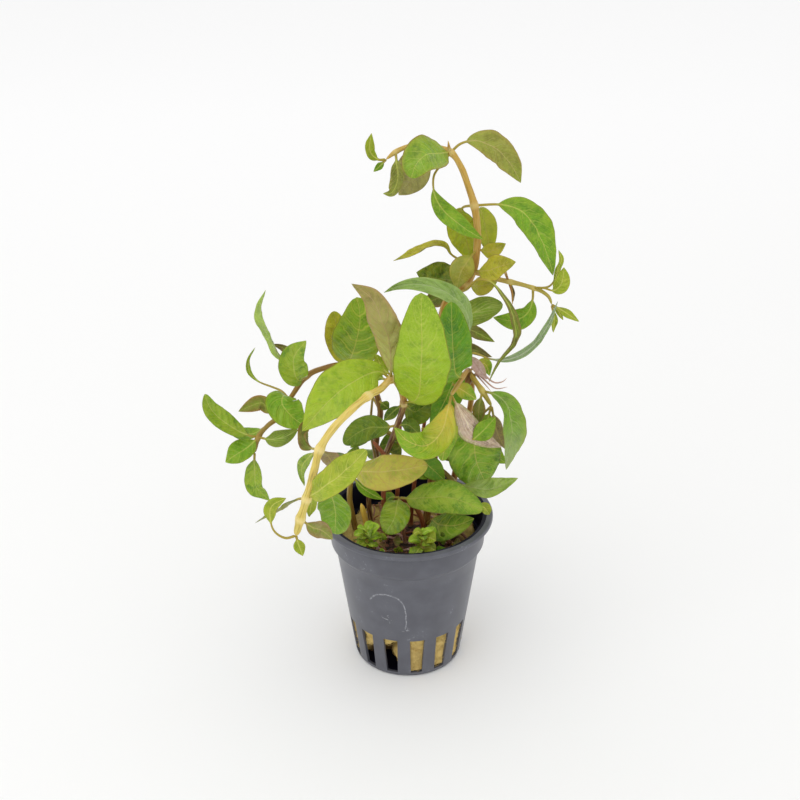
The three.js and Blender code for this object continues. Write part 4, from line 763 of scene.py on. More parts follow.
def mouldedPolypropylene():
    # dark grey polypropylene, injection moulded: satin, a little mottled where the melt flowed, with the
    # pale rim and flecks of a splash that has dried on it
    look = dict(body="#55565e", pale="#686a73", dust="#b4b5bb", flowMm=6.0, grainMm=0.35, beadMm=0.7,
                flecks=((-6.2, 25.0, 2.4), (-0.9, 20.6, 1.7)))
    stain = dict(x=-6.6, z=25.0, wide=6.0, high=10.0, rim=0.3, square=2.6, wobble=0.25, lean=0.55)
    skin, tree, surface, add = newSkin("moulded polypropylene", {"IOR": 1.49})
    place = add("ShaderNodeTexCoord").outputs["Object"]
    x, y, z = add("ShaderNodeSeparateXYZ", [place]).outputs
    flow, grain, bead = [
        add("ShaderNodeTexNoise", {"Vector": place, "Scale": perMm / look[size], "Detail": detail})
        for size, detail in (("flowMm", 3.0), ("grainMm", 2.0), ("beadMm", 2.0))]
    front = add(maths, [y, 0.0], operation="LESS_THAN")

    # dried rim of the splash: an arch on the front, open below, drawn in beads
    ends = [add(mapRange,
                {"Value": value, "From Min": (middle - reach) * mm, "From Max": (middle + reach) * mm,
                 "To Min": -1.0}, clamp=False)
            for value, middle, reach in ((x, stain["x"], stain["wide"]), (z, stain["z"], stain["high"]))]
    wobble = add(maths, [flow, 0.5], operation="SUBTRACT")
    wobble = add(maths, [wobble, stain["wobble"]], operation="MULTIPLY")
    powers = [add(maths, [add(maths, [end], operation="ABSOLUTE"), stain["square"]], operation="POWER")
              for end in ends]
    far = add(maths, [add(maths, powers, operation="ADD"), 1 / stain["square"]], operation="POWER")
    far = add(maths, [far, wobble], operation="ADD")
    off = add(maths, [add(maths, [far, 1.0], operation="SUBTRACT")], operation="ABSOLUTE")
    arc = add(mapRange,
              {"Value": off, "From Max": stain["rim"] / stain["wide"], "To Min": 1.0, "To Max": 0.0},
              interpolation_type="SMOOTHSTEP")
    above = add(maths, [ends[0], stain["lean"], ends[1]], operation="MULTIPLY_ADD")
    above = add(mapRange, {"Value": above, "From Min": 0.08, "From Max": 0.2})
    beaded = add(mapRange,
                 {"Value": bead, "From Min": 0.4, "From Max": 0.6, "To Min": 0.15, "To Max": 0.75})
    for mask in (front, above, beaded):
        arc = add(maths, [arc, mask], operation="MULTIPLY")

    # dried flecks: thick in two places, a few all over
    crowd = add(mapRange, {"Value": flow, "From Min": 0.6, "From Max": 0.7, "To Max": 0.35})
    level = add("ShaderNodeCombineXYZ", [x, None, z])
    for middleX, middleZ, reach in look["flecks"]:
        away = add("ShaderNodeVectorMath", [level, (middleX * mm, 0, middleZ * mm)], operation="DISTANCE")
        near = add(mapRange,
                   {"Value": away.outputs["Value"], "From Min": reach * 0.4 * mm, "From Max": reach * mm,
                    "To Min": 0.9, "To Max": 0.0})
        near = add(maths, [near, front], operation="MULTIPLY")
        crowd = add(maths, [crowd, near], operation="MAXIMUM")
    speck = add(mapRange, {"Value": bead, "From Min": 0.6, "From Max": 0.68})
    speck = add(maths, [speck, crowd], operation="MULTIPLY")
    hazy = add(mapRange, {"Value": flow, "From Min": 0.35, "From Max": 0.7, "To Max": 0.5})
    colour = linear(look["body"])
    for mask, tint in ((hazy, look["pale"]), (speck, look["dust"]), (arc, look["dust"])):
        colour = add("ShaderNodeMix", {0: mask, 6: colour, 7: linear(tint)}, data_type="RGBA").outputs[2]
    rough = add(mapRange, {"Value": flow, "To Min": 0.28, "To Max": 0.44})
    rough = add(maths, [arc, 0.25, rough], operation="MULTIPLY_ADD")
    bump = add("ShaderNodeBump", {"Strength": 0.12, "Distance": 0.03 * mm, "Height": grain})
    tree.links.new(colour, surface.inputs["Base Color"])
    tree.links.new(rough.outputs[0], surface.inputs["Roughness"])
    tree.links.new(bump.outputs[0], surface.inputs["Normal"])
    return skin


def shadedPolypropylene():
    # the same plastic on the inner walls and floor: painted shade, nearly black, for the dark inside the
    # pot
    return newSkin("polypropylene in painted shade", {"Base Color": linear("#0c0d20"), "Roughness": 0.5,
                                         "Specular IOR Level": 0.12, "IOR": 1.49})[0]


# Rock wool: a plug of tangled mineral fibre, damp and sunken where stems and roots come out of it

wool = dict(
    cell=0.55, lumpMm=5.0, lump=0.9, tuftMm=1.3, tuft=0.5, level=0.62, fibres=3600, fibreLong=2.6,
    fibreRadius=0.045, bulge=1.2, bulgeTop=17.5, bulgeFade=2, heap=2.6, heapPlace=(19.5, 0, 44.5),
    heapWide=9, swell=3.6, swellPlace=(-0.8, -13, 8.5), swellWide=7.5, seed=7,
    colour="#bfa65a", dark="#86703a", pale="#d2bc78", low="#cfb26a", deep="#6a4c20", mulch="#4a2c1c",
    scraps="#8c5a40", gapShade="#140e0a", dampMm=7, strandMm=0.8, crumbMm=1.6, lowFrom=18, lowTo=12,
    deepTop=18, deepFull=14, deepFrom=15, deepTo=13, mulchPlace=(4, -7, 44.5), mulchReach=13,
    mulchFade=1.5, mulchRagged=14)


def woolTree():
    inputs = {label: ("Float", 0.0) for label in (
        "Lump", "Lump Scale", "Tuft", "Tuft Scale", "Density", "Fibre Length", "Fibre Radius", "Bulge",
        "Bulge Top", "Heap", "Heap Width", "Swell", "Swell Width")}
    inputs.update({"Heap Place": ("Vector", (0, 0, 0)), "Swell Place": ("Vector", (0, 0, 0)),
                   "Seed": ("Int", 0), "Skin": ("Material", None)})
    tree, g, add = newTree("wool", inputs)
    place = add("GeometryNodeInputPosition")
    normal = add("GeometryNodeInputNormal")
    uneven = []
    for label, detail in (("Lump", 2.0), ("Tuft", 3.0)):
        noise = add("ShaderNodeTexNoise", {"Vector": place, "Scale": g[label + " Scale"], "Detail": detail})
        noise = add(maths, [noise, wool["level"]], operation="SUBTRACT")
        uneven.append(add(maths, [noise, g[label]], operation="MULTIPLY"))
    # low down it bulges into the slots
    z = add("ShaderNodeSeparateXYZ", [place]).outputs["Z"]
    fullBelow = add(maths, [g["Bulge Top"], wool["bulgeFade"] * mm], operation="SUBTRACT")
    low = add(mapRange, {"Value": z, "From Min": g["Bulge Top"], "From Max": fullBelow},
              interpolation_type="SMOOTHSTEP")
    steep = add(maths, [add("ShaderNodeSeparateXYZ", [normal]).outputs["Z"]], operation="ABSOLUTE")
    steep = add(mapRange, {"Value": steep, "From Min": 0.9, "From Max": 0.5})
    bulge = add(maths, [add(maths, [low, steep], operation="MULTIPLY"), g["Bulge"]], operation="MULTIPLY")
    # it is heaped up against the wall at the right, and swells into the notch from that side, so that wool
    # shows deep in the third slot
    mounds = []
    for label in ("Heap", "Swell"):
        away = add("ShaderNodeVectorMath", [place, g[label + " Place"]], operation="DISTANCE")
        mounds.append(add(mapRange,
                          {"Value": away.outputs["Value"], "From Min": g[label + " Width"], "From Max": 0.0,
                           "To Max": g[label]}, interpolation_type="SMOOTHSTEP"))
    level = add(maths, [1.0, steep], operation="SUBTRACT")
    bulge = add(maths, [mounds[0], level, bulge], operation="MULTIPLY_ADD")
    sideways = add(mapRange,
                   {"Value": add("ShaderNodeSeparateXYZ", [normal]), "From Min": -0.5, "From Max": -0.9})
    bulge = add(maths, [mounds[1], sideways, bulge], operation="MULTIPLY_ADD")
    lift = add(maths, [add(maths, uneven, operation="ADD"), bulge], operation="ADD")
    lift = add("ShaderNodeVectorMath", {0: normal, "Scale": lift}, operation="SCALE")
    plug = add("GeometryNodeSetPosition", {"Geometry": g["Geometry"], "Offset": lift})
    plug = add("GeometryNodeSetShadeSmooth", [plug])
    points = add("GeometryNodeDistributePointsOnFaces",
                 {"Mesh": plug, "Density": g["Density"], "Seed": g["Seed"]})
    strand = add("GeometryNodeCurveQuadraticBezier",
                 {"Resolution": 4, "Start": (-0.5, 0, -0.03), "Middle": (0, 0.12, 0.3),
                  "End": (0.5, 0, 0.02)})
    ring = add("GeometryNodeCurvePrimitiveCircle", {"Resolution": 3, "Radius": 1.0})
    slim = add(maths, [g["Fibre Radius"], g["Fibre Length"]], operation="DIVIDE")
    strand = add("GeometryNodeCurveToMesh",
                 {"Curve": strand, "Profile Curve": ring.outputs["Curve"], "Scale": slim,
                  "Fill Caps": True})
    turn = add("FunctionNodeRandomValue", {3: math.tau, 8: g["Seed"]}, data_type="FLOAT")
    tilt = add("FunctionNodeRandomValue", {2: -0.35, 3: 0.35, 8: 3}, data_type="FLOAT")
    spin = add("ShaderNodeCombineXYZ", [tilt.outputs[1], None, turn.outputs[1]])
    spin = add("FunctionNodeEulerToRotation", [spin])
    spin = add("FunctionNodeRotateRotation", {"Rotation": points.outputs["Rotation"], "Rotate By": spin},
               rotation_space="LOCAL")
    size = add("FunctionNodeRandomValue", {2: 0.5, 3: 1.4, 8: 5}, data_type="FLOAT")
    size = add(maths, [size.outputs[1], g["Fibre Length"]], operation="MULTIPLY")
    fibres = add("GeometryNodeInstanceOnPoints",
                 {"Points": points.outputs["Points"], "Instance": strand, "Rotation": spin, "Scale": size})
    both = add("GeometryNodeJoinGeometry")
    for part in (fibres, plug):
        tree.links.new(part.outputs[0], both.inputs[0])
    closeTree(tree, both, g["Skin"])
    return tree


def makeWool():
    # starts from a merged copy of the solid, so that it fills the same space
    shape = bmesh.new()
    shape.from_mesh(frame["nodes"]["rock_wool"].data)
    bmesh.ops.remove_doubles(shape, verts=shape.verts, dist=0.01 * mm)
    mesh = bpy.data.meshes.new("wool_base")
    shape.to_mesh(mesh)
    shape.free()
    base = placed("wool_base", mesh)
    remesh = base.modifiers.new("even mesh", "REMESH")
    remesh.mode = "VOXEL"
    remesh.voxel_size = wool["cell"] * mm
    even = bpy.data.meshes.new_from_object(base.evaluated_get(bpy.context.evaluated_depsgraph_get()))
    bpy.data.objects.remove(base)
    even.materials.clear()
    area = sum(face.area for face in even.polygons)
    return grow("rock_wool_plug", even, woolTree(), {
        "Lump": wool["lump"] * mm * 2, "Lump Scale": perMm / wool["lumpMm"], "Tuft": wool["tuft"] * mm * 2,
        "Tuft Scale": perMm / wool["tuftMm"], "Density": wool["fibres"] / area,
        "Fibre Length": wool["fibreLong"] * mm, "Fibre Radius": wool["fibreRadius"] * mm,
        "Bulge": wool["bulge"] * mm, "Bulge Top": wool["bulgeTop"] * mm, "Heap": wool["heap"] * mm,
        "Heap Place": tuple(v * mm for v in wool["heapPlace"]), "Heap Width": wool["heapWide"] * mm,
        "Swell": wool["swell"] * mm, "Swell Place": tuple(v * mm for v in wool["swellPlace"]),
        "Swell Width": wool["swellWide"] * mm, "Seed": wool["seed"], "Skin": mineralWool()})


def mineralWool():
    # mineral fibre spun from melted rock, tan and damp: matt, pale in fine strands, with painted shade in
    # the notch and between crumbs
    skin, tree, surface, add = newSkin("mineral wool", {"Roughness": 0.9})
    place = add("ShaderNodeTexCoord").outputs["Object"]
    damp = add("ShaderNodeTexNoise", {"Vector": place, "Scale": perMm / wool["dampMm"], "Detail": 3.0})
    strand = add("ShaderNodeTexNoise",
                 {"Vector": place, "Scale": perMm / wool["strandMm"], "Detail": 4.0, "Distortion": 1.5})
    height = add("ShaderNodeSeparateXYZ", [place]).outputs["Z"]
    low, deep = [add(mapRange, {"Value": height, "From Min": wool[top] * mm, "From Max": wool[full] * mm})
                 for top, full in (("lowFrom", "lowTo"), ("deepTop", "deepFull"))]
    dark = add(mapRange, {"Value": damp, "From Min": 0.5, "From Max": 0.7, "To Max": 0.7})
    pale = add(mapRange, {"Value": strand, "From Min": 0.5, "From Max": 0.72, "To Max": 0.8})
    # darker brown deep in the notch behind the slots: partly the wool's own wet colour, partly painted
    # shade where it recedes
    inward = add("ShaderNodeVectorMath", [place, (1, 1, 0)], operation="MULTIPLY")
    inward = add("ShaderNodeVectorMath", [inward], operation="LENGTH").outputs["Value"]
    inward = add(mapRange,
                 {"Value": inward, "From Min": wool["deepFrom"] * mm, "From Max": wool["deepTo"] * mm})
    deep = add(maths, [inward, deep], operation="MULTIPLY")
    colour = linear(wool["colour"])
    for mask, tint in ((low, "low"), (dark, "dark"), (pale, "pale"), (deep, "deep")):
        colour = add("ShaderNodeMix", {0: mask, 6: colour, 7: linear(wool[tint])},
                     data_type="RGBA").outputs[2]
    # rotted leaf and root crumbs cover it between the shoots, nearest the front right
    middle = tuple(v * mm for v in wool["mulchPlace"])
    away = add("ShaderNodeVectorMath", [place, middle], operation="DISTANCE").outputs["Value"]
    ragged = add(maths, [damp, 0.5], operation="SUBTRACT")
    away = add(maths, [ragged, wool["mulchRagged"] * mm, away], operation="MULTIPLY_ADD")
    crumbs = add("ShaderNodeTexVoronoi", {"Vector": place, "Scale": perMm / wool["crumbMm"]})
    crumb = add("ShaderNodeSeparateColor", [crumbs.outputs["Color"]])
    spread = add(mapRange,
                 {"Value": away, "From Min": (wool["mulchReach"] + wool["mulchFade"]) * mm,
                  "From Max": (wool["mulchReach"] - wool["mulchFade"]) * mm})
    ripe = add(mapRange, {"Value": crumb, "From Min": 0.5, "From Max": 0.9, "To Max": 0.85})
    # painted shade: near-black in the gaps between the crumbs
    gapShadeMask = add(mapRange, {"Value": crumbs, "From Min": 0.45, "From Max": 0.75})
    rotted = linear(wool["mulch"])
    for mask, tint in ((ripe, "scraps"), (gapShadeMask, "gapShade")):
        rotted = add("ShaderNodeMix", {0: mask, 6: rotted, 7: linear(wool[tint])},
                     data_type="RGBA").outputs[2]
    colour = add("ShaderNodeMix", {0: spread, 6: colour, 7: rotted}, data_type="RGBA").outputs[2]
    bump = add("ShaderNodeBump", {"Strength": 0.6, "Distance": 0.2 * mm, "Height": strand})
    tree.links.new(colour, surface.inputs["Base Color"])
    tree.links.new(bump.outputs[0], surface.inputs["Normal"])
    return skin


# Leaf finishes. A living leaf: thin flesh that light passes through, under a waxy skin with a wet sheen.
# Its veins are paler and pressed into the upper side, its edge is a thin darker line, and it pales or
# browns with age in clouds.

leafLook = dict(
    blade="#759a12", shade="#58820e", patch="#9cb42c", middle="#7cae16", vein="#a8b84a", rib="#c2c660",
    edge="#7f8e1e", hem="#6a6418", tip="#759a14", base="#94aa2e", under="#8f963a", underVein="#b3a652",
    petiole="#a8953a", pairs=7.0, slant=1.5, veinMm=0.5, ribMm=0.4, patchMm=4.2, cellMm=0.7, mottleMm=0.9,
    mottleShow=0.5, shadeShow=0.85, patchShow=0.6, middleShow=0.45, veinShow=0.42, fineShow=0.22,
    ribShow=0.7, edgeShow=0.4, hemShow=0.75, tipShow=0.3, tipFrom=0.62, baseShow=0.4, baseReach=0.3,
    cellShow=0.1, rough=0.34, coat=0.15, glow=0.14)

leafLooks = {
    "broadLime": dict(blade="#98ba1a", shade="#7c9f1a", patch="#abc23c", middle="#98bc22", vein="#bfcc58",
        rib="#c9cc62", edge="#84a624", tip="#769418", base="#b0c834", tipShow=0.65, pairs=6.0,
        veinShow=0.22, cellShow=0.2, baseShow=0.65),
    "smoothLime": dict(blade="#9cb81e", shade="#6f9418", patch="#abbe3c", middle="#98b626",
        vein="#b4c24c", edge="#9cae34", tip="#a8b43a", base="#88a424", veinShow=0.2, fineShow=0.12,
        rough=0.28),
    "youngLime": dict(blade="#97ab1e", shade="#7c921a", patch="#b3ba3c", middle="#9fb424", vein="#bfc456",
        rib="#cdcb68", edge="#a8a638", tip="#8ea01e", base="#a9b036"),
    "crownGreen": dict(blade="#7c9e0e", shade="#5f7d12", patch="#9aae34", middle="#79a61a",
        edge="#8c7c2c", hem="#7c3c24", base="#96a034", edgeShow=0.5, rough=0.26, coat=0.35),
    "freshGreen": dict(blade="#6f9a10", shade="#4f7e0c", patch="#95b02a", middle="#6ca612",
        edge="#7a921c"),
    "glossyGreen": dict(blade="#8aa61a", shade="#4a7a0c", patch="#aab83a", middle="#8ab020",
        edge="#5c8614", tip="#6c9a18", veinShow=0.3, rough=0.24, coat=0.35),
    "deepGreen": dict(blade="#5c7608", shade="#36540a", patch="#86921e", middle="#5c8010", vein="#849c3c",
        rib="#9ca646", edge="#566c14", hem="#4c4a14", tip="#4c6a0c", base="#6c821c"),
    "spottedDark": dict(blade="#748018", shade="#3c4c10", patch="#a09c2e", middle="#55801a",
        vein="#7c8c3c", rib="#8f9444", edge="#4a4c18", hem="#3c3014", patchMm=2.4, shadeShow=0.95,
        veinShow=0.5),
    "bandedGreen": dict(blade="#5c9414", shade="#3f7c1c", patch="#88a828", middle="#60a220",
        vein="#98b040", edge="#749c20", tip="#6c9a20", base="#86a828", patchMm=6.0),
    "ribbedDark": dict(blade="#78a41c", shade="#43740e", patch="#a4b83a", middle="#7eb21e",
        vein="#b4be50", rib="#c8c462", edge="#3f6c10", veinShow=0.7, ribShow=0.85, pairs=6.0,
        edgeShow=0.7, shadeShow=0.9),
    "yellowVeined": dict(blade="#769a14", shade="#5a7c10", patch="#96a82c", middle="#7aa418",
        vein="#b8ba48", rib="#c2be56", edge="#8c9026", veinShow=0.55, pairs=6.0),
    "striped": dict(blade="#74891e", shade="#576f14", patch="#8f9c38", vein="#aab45c", rib="#b0b864",
        edge="#74802a", veinShow=0.7, pairs=4.0, slant=4.6, veinMm=0.9, fineShow=0.4),
    "oliveBronze": dict(blade="#919236", shade="#7c7c28", patch="#a6a64e", middle="#8f9c38",
        vein="#b0a860", rib="#bcae6a", edge="#9a8244", hem="#7c4c2c", veinShow=0.28, edgeShow=0.6,
        rough=0.28),
    "mutedOlive": dict(blade="#8c9038", shade="#707628", patch="#a29c54", middle="#889a34",
        vein="#aaa45c", edge="#8c7c44", hem="#6c5030"),
    "olive": dict(blade="#b4ae26", shade="#928c1c", patch="#c4b840", middle="#b0b22a", vein="#b0a44a",
        rib="#b8a854", edge="#a08c2e", hem="#6c4820", edgeShow=0.5),
    "oliveGreen": dict(blade="#aeb42a", shade="#8a941c", patch="#bcb840", middle="#a8b82a",
        vein="#aaa84a", rib="#b4aa52", edge="#908c30", hem="#6c5a24", shadeShow=0.5, veinShow=0.25,
        glow=0.25),
    "brownKite": dict(blade="#80782c", shade="#645a1e", patch="#948a3e", vein="#a4944c", edge="#9c6834",
        hem="#984c28", edgeShow=0.8, ribShow=0.4),
    "bronzeUnder": dict(blade="#76702c", patch="#8a8240", edge="#84643c", under="#7c7234",
        shade="#5e5422", underVein="#9c8a54", hem="#5c3c24", edgeShow=0.5),
    "crownUnder": dict(blade="#aaa45c", patch="#a29a5c", edge="#8c7850", under="#a6a05c", shade="#747034",
        underVein="#a89e68", rib="#a8a06a", hem="#6c5438", patchShow=0.7),
    "pinkBronze": dict(blade="#8c8440", patch="#a29a54", base="#c4c874", baseShow=0.9, rib="#b8a070",
        edge="#a67e58", under="#958a46", shade="#7a7236", underVein="#ae9662", hem="#8c5c44",
        edgeShow=0.65, baseReach=0.85),
    "pinkBrown": dict(blade="#8f7c44", under="#98825c", shade="#7a6440", underVein="#bcaa64",
        rib="#c2b06a", edge="#a2755c", patch="#a69468", hem="#7c4c3c", edgeShow=0.6),
    "pinkStriped": dict(blade="#c4a688", under="#c8aa90", shade="#9c8068", patch="#d2bcac",
        underVein="#ead8c0", rib="#e8d8b8", edge="#94a04c", hem="#7c4c3c", base="#c8a860", pairs=3.0,
        slant=4.5, veinMm=0.9, veinShow=0.75, patchShow=0.7, edgeShow=0.8),
    "sprout": dict(blade="#a0c826", shade="#78a81a", patch="#bcd440", middle="#a4d02a", vein="#c8dc68",
        rib="#ccdc70", edge="#88b020", tip="#90c020", base="#b0c83c"),
    "pinkPaper": dict(blade="#c8a89a", under="#d0b4a8", shade="#a87c6c", patch="#e0ccc4",
        middle="#d4b8ac", vein="#b08878", underVein="#b08878", rib="#c09a8c", edge="#b4907c",
        hem="#94644c", base="#b09a58", tip="#b89484"),
    "tanUnder": dict(blade="#b8ba3c", under="#c0bc48", shade="#98a232", patch="#c0b650",
        underVein="#bc9654", rib="#d0c270", edge="#b49a46", hem="#987c36", patchMm=6.0, patchShow=0.7),
    "paleTeal": dict(blade="#90ac54", shade="#6a8a3e", patch="#9cb46c", middle="#96b25e", vein="#a8bc7c",
        rib="#b0c084", edge="#9cb46a", tip="#7f9c4a", base="#8ca44c", under="#8ea468",
        underVein="#a8b884", rough=0.3),
    "palePink": dict(blade="#86a06a", shade="#70885a", patch="#a8b894", middle="#90aa76", vein="#b8c4a0",
        rib="#c2ccac", edge="#a8b88c", hem="#84906a", tip="#93a884", base="#8c9a3c", under="#98a880",
        underVein="#bcc4a4", rough=0.26, coat=0.4),
    "paleGrey": dict(blade="#a6c058", shade="#7c9a3c", patch="#a4b868", middle="#a8c25c", vein="#aebc74",
        rib="#b8c27e", edge="#8ca44a", under="#a4b46a", underVein="#b0b87c"),
    "foldedGrey": dict(blade="#709a18", shade="#52761a", patch="#8aa444", vein="#a8b470", rib="#aebc74",
        edge="#8a9c3c", tip="#bcc498", base="#6c9424", under="#84985c", tipShow=0.8, tipFrom=0.4),
    "variegated": dict(blade="#6e9814", shade="#558410", patch="#a4b43a", middle="#a2bc3e",
        vein="#a8b446", rib="#b2b852", edge="#5c7a18", patchShow=0.55, patchMm=3.0, middleShow=0.75,
        edgeShow=0.6),
    "yellowing": dict(blade="#7ca81c", shade="#588c12", patch="#a8b83a", middle="#a0b828", vein="#ccc652",
        rib="#dccc6c", edge="#7ca024", hem="#8c8428", tip="#78a81c", base="#dcbc44", patchShow=0.5,
        tipShow=0.7, baseShow=0.95, baseReach=0.62),
    "rolledOlive": dict(blade="#64621c", shade="#464412", patch="#827c30", vein="#948a48", rib="#9c9050",
        edge="#8a5030", hem="#84402a", slant=3.4, veinShow=0.5, edgeShow=0.6),
    "brownTip": dict(blade="#6e642c", shade="#4c401c", patch="#7c6c3a", vein="#8c7848", rib="#9c8450",
        edge="#8c6448", tip="#6c4c34", under="#7c6440", tipShow=0.7, edgeShow=0.6),
}


veinForm = dict(drift=0.35, sway=0.5, swayPairs=6, width=0.3, fineWidth=0.3, thinning=0.4, fadeFrom=0.5,
                fadeTo=0.1, finer=4, ribTip=0.35, cellLine=0.14, finePress=0.4, cellPress=-0.3,
                cloudPress=1.5)


def leafSkin(name):
    look = {**leafLook, **leafLooks[name]}
    skin, tree, surface, add = newSkin("leaf " + name, {
        "IOR": 1.42, "Subsurface Weight": look["glow"], "Subsurface Scale": 1.2 * mm,
        "Subsurface Radius": (0.7, 1.0, 0.25), "Coat Weight": look["coat"], "Coat Roughness": 0.18,
        "Specular IOR Level": 0.3})
    across, along, upper = [add("ShaderNodeAttribute", attribute_name=label).outputs["Fac"]
                            for label in ("across", "along", "upper")]
    flat = add("ShaderNodeAttribute", attribute_name="flat").outputs["Vector"]
    aside = add("ShaderNodeSeparateXYZ", [flat]).outputs["X"]
    place = add("ShaderNodeTexCoord").outputs["Object"]
    edge = add(maths, [across], operation="ABSOLUTE")
    blade = add(mapRange, {"Value": along})
    drift = add("ShaderNodeTexNoise", {"Vector": flat, "Scale": veinForm["drift"], "Detail": 2.0})
    bowed = add(maths, [edge, leafRelief["veinPower"]], operation="POWER")

    def veins(pairs, slant, widest):
        # lines that leave the midrib in pairs and sweep towards the tip, thinner as they go
        swept = add(maths, [bowed, slant], operation="MULTIPLY")
        swept = add(maths, [add(maths, [blade, pairs], operation="MULTIPLY"), swept], operation="SUBTRACT")
        sway = veinForm["sway"] * pairs / veinForm["swayPairs"]
        swept = add(maths, [drift, sway, swept], operation="MULTIPLY_ADD")
        beside = add(maths, [add(maths, [swept, 0.5], operation="ADD"), 0.5], operation="PINGPONG")
        narrowest = widest * veinForm["thinning"]
        spread = add(mapRange, {"Value": edge, "To Min": widest, "To Max": narrowest})
        spread = add(maths, [0.5, spread], operation="SUBTRACT")
        line = add(mapRange, {"Value": beside, "From Min": spread, "From Max": 0.5},
                   interpolation_type="SMOOTHSTEP")
        fade = add(mapRange,
                   {"Value": edge, "From Min": veinForm["fadeFrom"], "To Min": 1.0,
                    "To Max": veinForm["fadeTo"]})
        return add(maths, [line, fade], operation="MULTIPLY")

    finer = veinForm["finer"]
    vein = veins(look["pairs"], look["slant"], look["veinMm"] * veinForm["width"])
    fine = veins(look["pairs"] * finer, look["slant"] * finer, veinForm["fineWidth"])
    narrow = add(mapRange,
                 {"Value": blade, "To Min": look["ribMm"], "To Max": look["ribMm"] * veinForm["ribTip"]})
    rib = add(mapRange,
              {"Value": add(maths, [aside], operation="ABSOLUTE"), "From Max": narrow, "To Min": 1.0,
               "To Max": 0.0}, interpolation_type="SMOOTHSTEP")
    cells = add("ShaderNodeTexVoronoi", {"Vector": flat, "Scale": 1 / look["cellMm"]},
                feature="DISTANCE_TO_EDGE")
    net = add(mapRange, {"Value": cells, "From Max": veinForm["cellLine"], "To Min": 1.0, "To Max": 0.0})
    cloud = add("ShaderNodeTexNoise",
                {"Vector": place, "Scale": perMm / look["patchMm"], "Detail": 4.0, "Roughness": 0.6})
    light, dark, gloss = add("ShaderNodeSeparateColor", [cloud.outputs["Color"]]).outputs
    mottle = add("ShaderNodeTexNoise", {"Vector": flat, "Scale": 1 / look["mottleMm"], "Detail": 3.0})

    # where each colour shows: by what, between which of its values, how strongly at both, and how it eases
    masks = {label: add(mapRange, settings[:-1], interpolation_type=settings[-1])
             for label, settings in {
                 "shade": (dark, 0.46, 0.66, 0.0, look["shadeShow"], "SMOOTHSTEP"),
                 "patch": (light, 0.46, 0.66, 0.0, look["patchShow"], "SMOOTHSTEP"),
                 # the middle of the blade is paler: partly the leaf's own tone, partly painted light on the
                 # lit fold
                 "middle": (edge, 0.1, 0.8, look["middleShow"], 0.0, "SMOOTHSTEP"),
                 "base": (blade, 0.0, look["baseReach"], look["baseShow"], 0.0, "LINEAR"),
                 "tip": (blade, look["tipFrom"], 1.0, 0.0, look["tipShow"], "LINEAR"),
                 "edge": (edge, 0.66, 1.0, 0.0, look["edgeShow"], "SMOOTHSTEP"),
                 "hem": (edge, 0.93, 0.99, 0.0, look["hemShow"], "SMOOTHSTEP"),
                 "mottle": (mottle, 0.5, 0.68, 0.0, look["mottleShow"], "LINEAR")}.items()}
    for label, lines, show in (("net", net, "cellShow"), ("fine", fine, "fineShow"),
                               ("vein", vein, "veinShow"), ("rib", rib, "ribShow")):
        masks[label] = add(maths, [lines, look[show]], operation="MULTIPLY")

    # the colours of both sides, each laid over the last by its mask
    sides = []
    for first, layers, tints in (
            ("blade", "middle shade patch base tip edge mottle net fine vein rib hem",
             {"mottle": "patch", "net": "vein", "fine": "vein"}),
            ("under", "shade patch base edge mottle net fine vein rib hem",
             dict.fromkeys(("mottle", "net", "fine", "vein"), "underVein"))):
        colour = linear(look[first])
        for layer in layers.split():
            tint = linear(look[tints.get(layer, layer)])
            colour = add("ShaderNodeMix", {0: masks[layer], 6: colour, 7: tint},
                         data_type="RGBA").outputs[2]
        sides.append(colour)
    top = add(mapRange, {"Value": upper, "From Min": -0.06, "From Max": 0.06})
    stalk = add(mapRange,
                {"Value": along, "From Min": -0.04, "From Max": 0.05, "To Min": 1.0, "To Max": 0.0})
    for mask, nextColour in ((top, sides[0]), (stalk, linear(look["petiole"]))):
        sides[1] = add("ShaderNodeMix", {0: mask, 6: sides[1], 7: nextColour}, data_type="RGBA").outputs[2]

    # veins sink into the upper side and stand out below; the flesh between them is slightly domed
    pressed = add(maths, [fine, veinForm["finePress"]], operation="MULTIPLY")
    pressed = add(maths, [pressed, vein], operation="MAXIMUM")
    pressed = add(maths, [pressed, rib], operation="MAXIMUM")
    sign = add(mapRange, {"Value": upper, "From Min": -0.1, "From Max": 0.1, "To Min": 1.0, "To Max": -1.0})
    relief = add(maths, [net, veinForm["cellPress"]], operation="MULTIPLY")
    relief = add(maths, [pressed, sign, relief], operation="MULTIPLY_ADD")
    relief = add(maths, [gloss, veinForm["cloudPress"], relief], operation="MULTIPLY_ADD")
    bump = add("ShaderNodeBump", {"Strength": 0.7, "Distance": 0.16 * mm, "Height": relief})
    rough = add(mapRange,
                {"Value": gloss, "From Min": 0.3, "From Max": 0.7, "To Min": look["rough"] - 0.1,
                 "To Max": look["rough"] + 0.14})
    tree.links.new(sides[1], surface.inputs["Base Color"])
    tree.links.new(rough.outputs[0], surface.inputs["Roughness"])
    tree.links.new(bump.outputs[0], surface.inputs["Normal"])
    return skin


# Stem finishes: green wood under a thin skin, smooth, browner with age and paler where leaves leave it

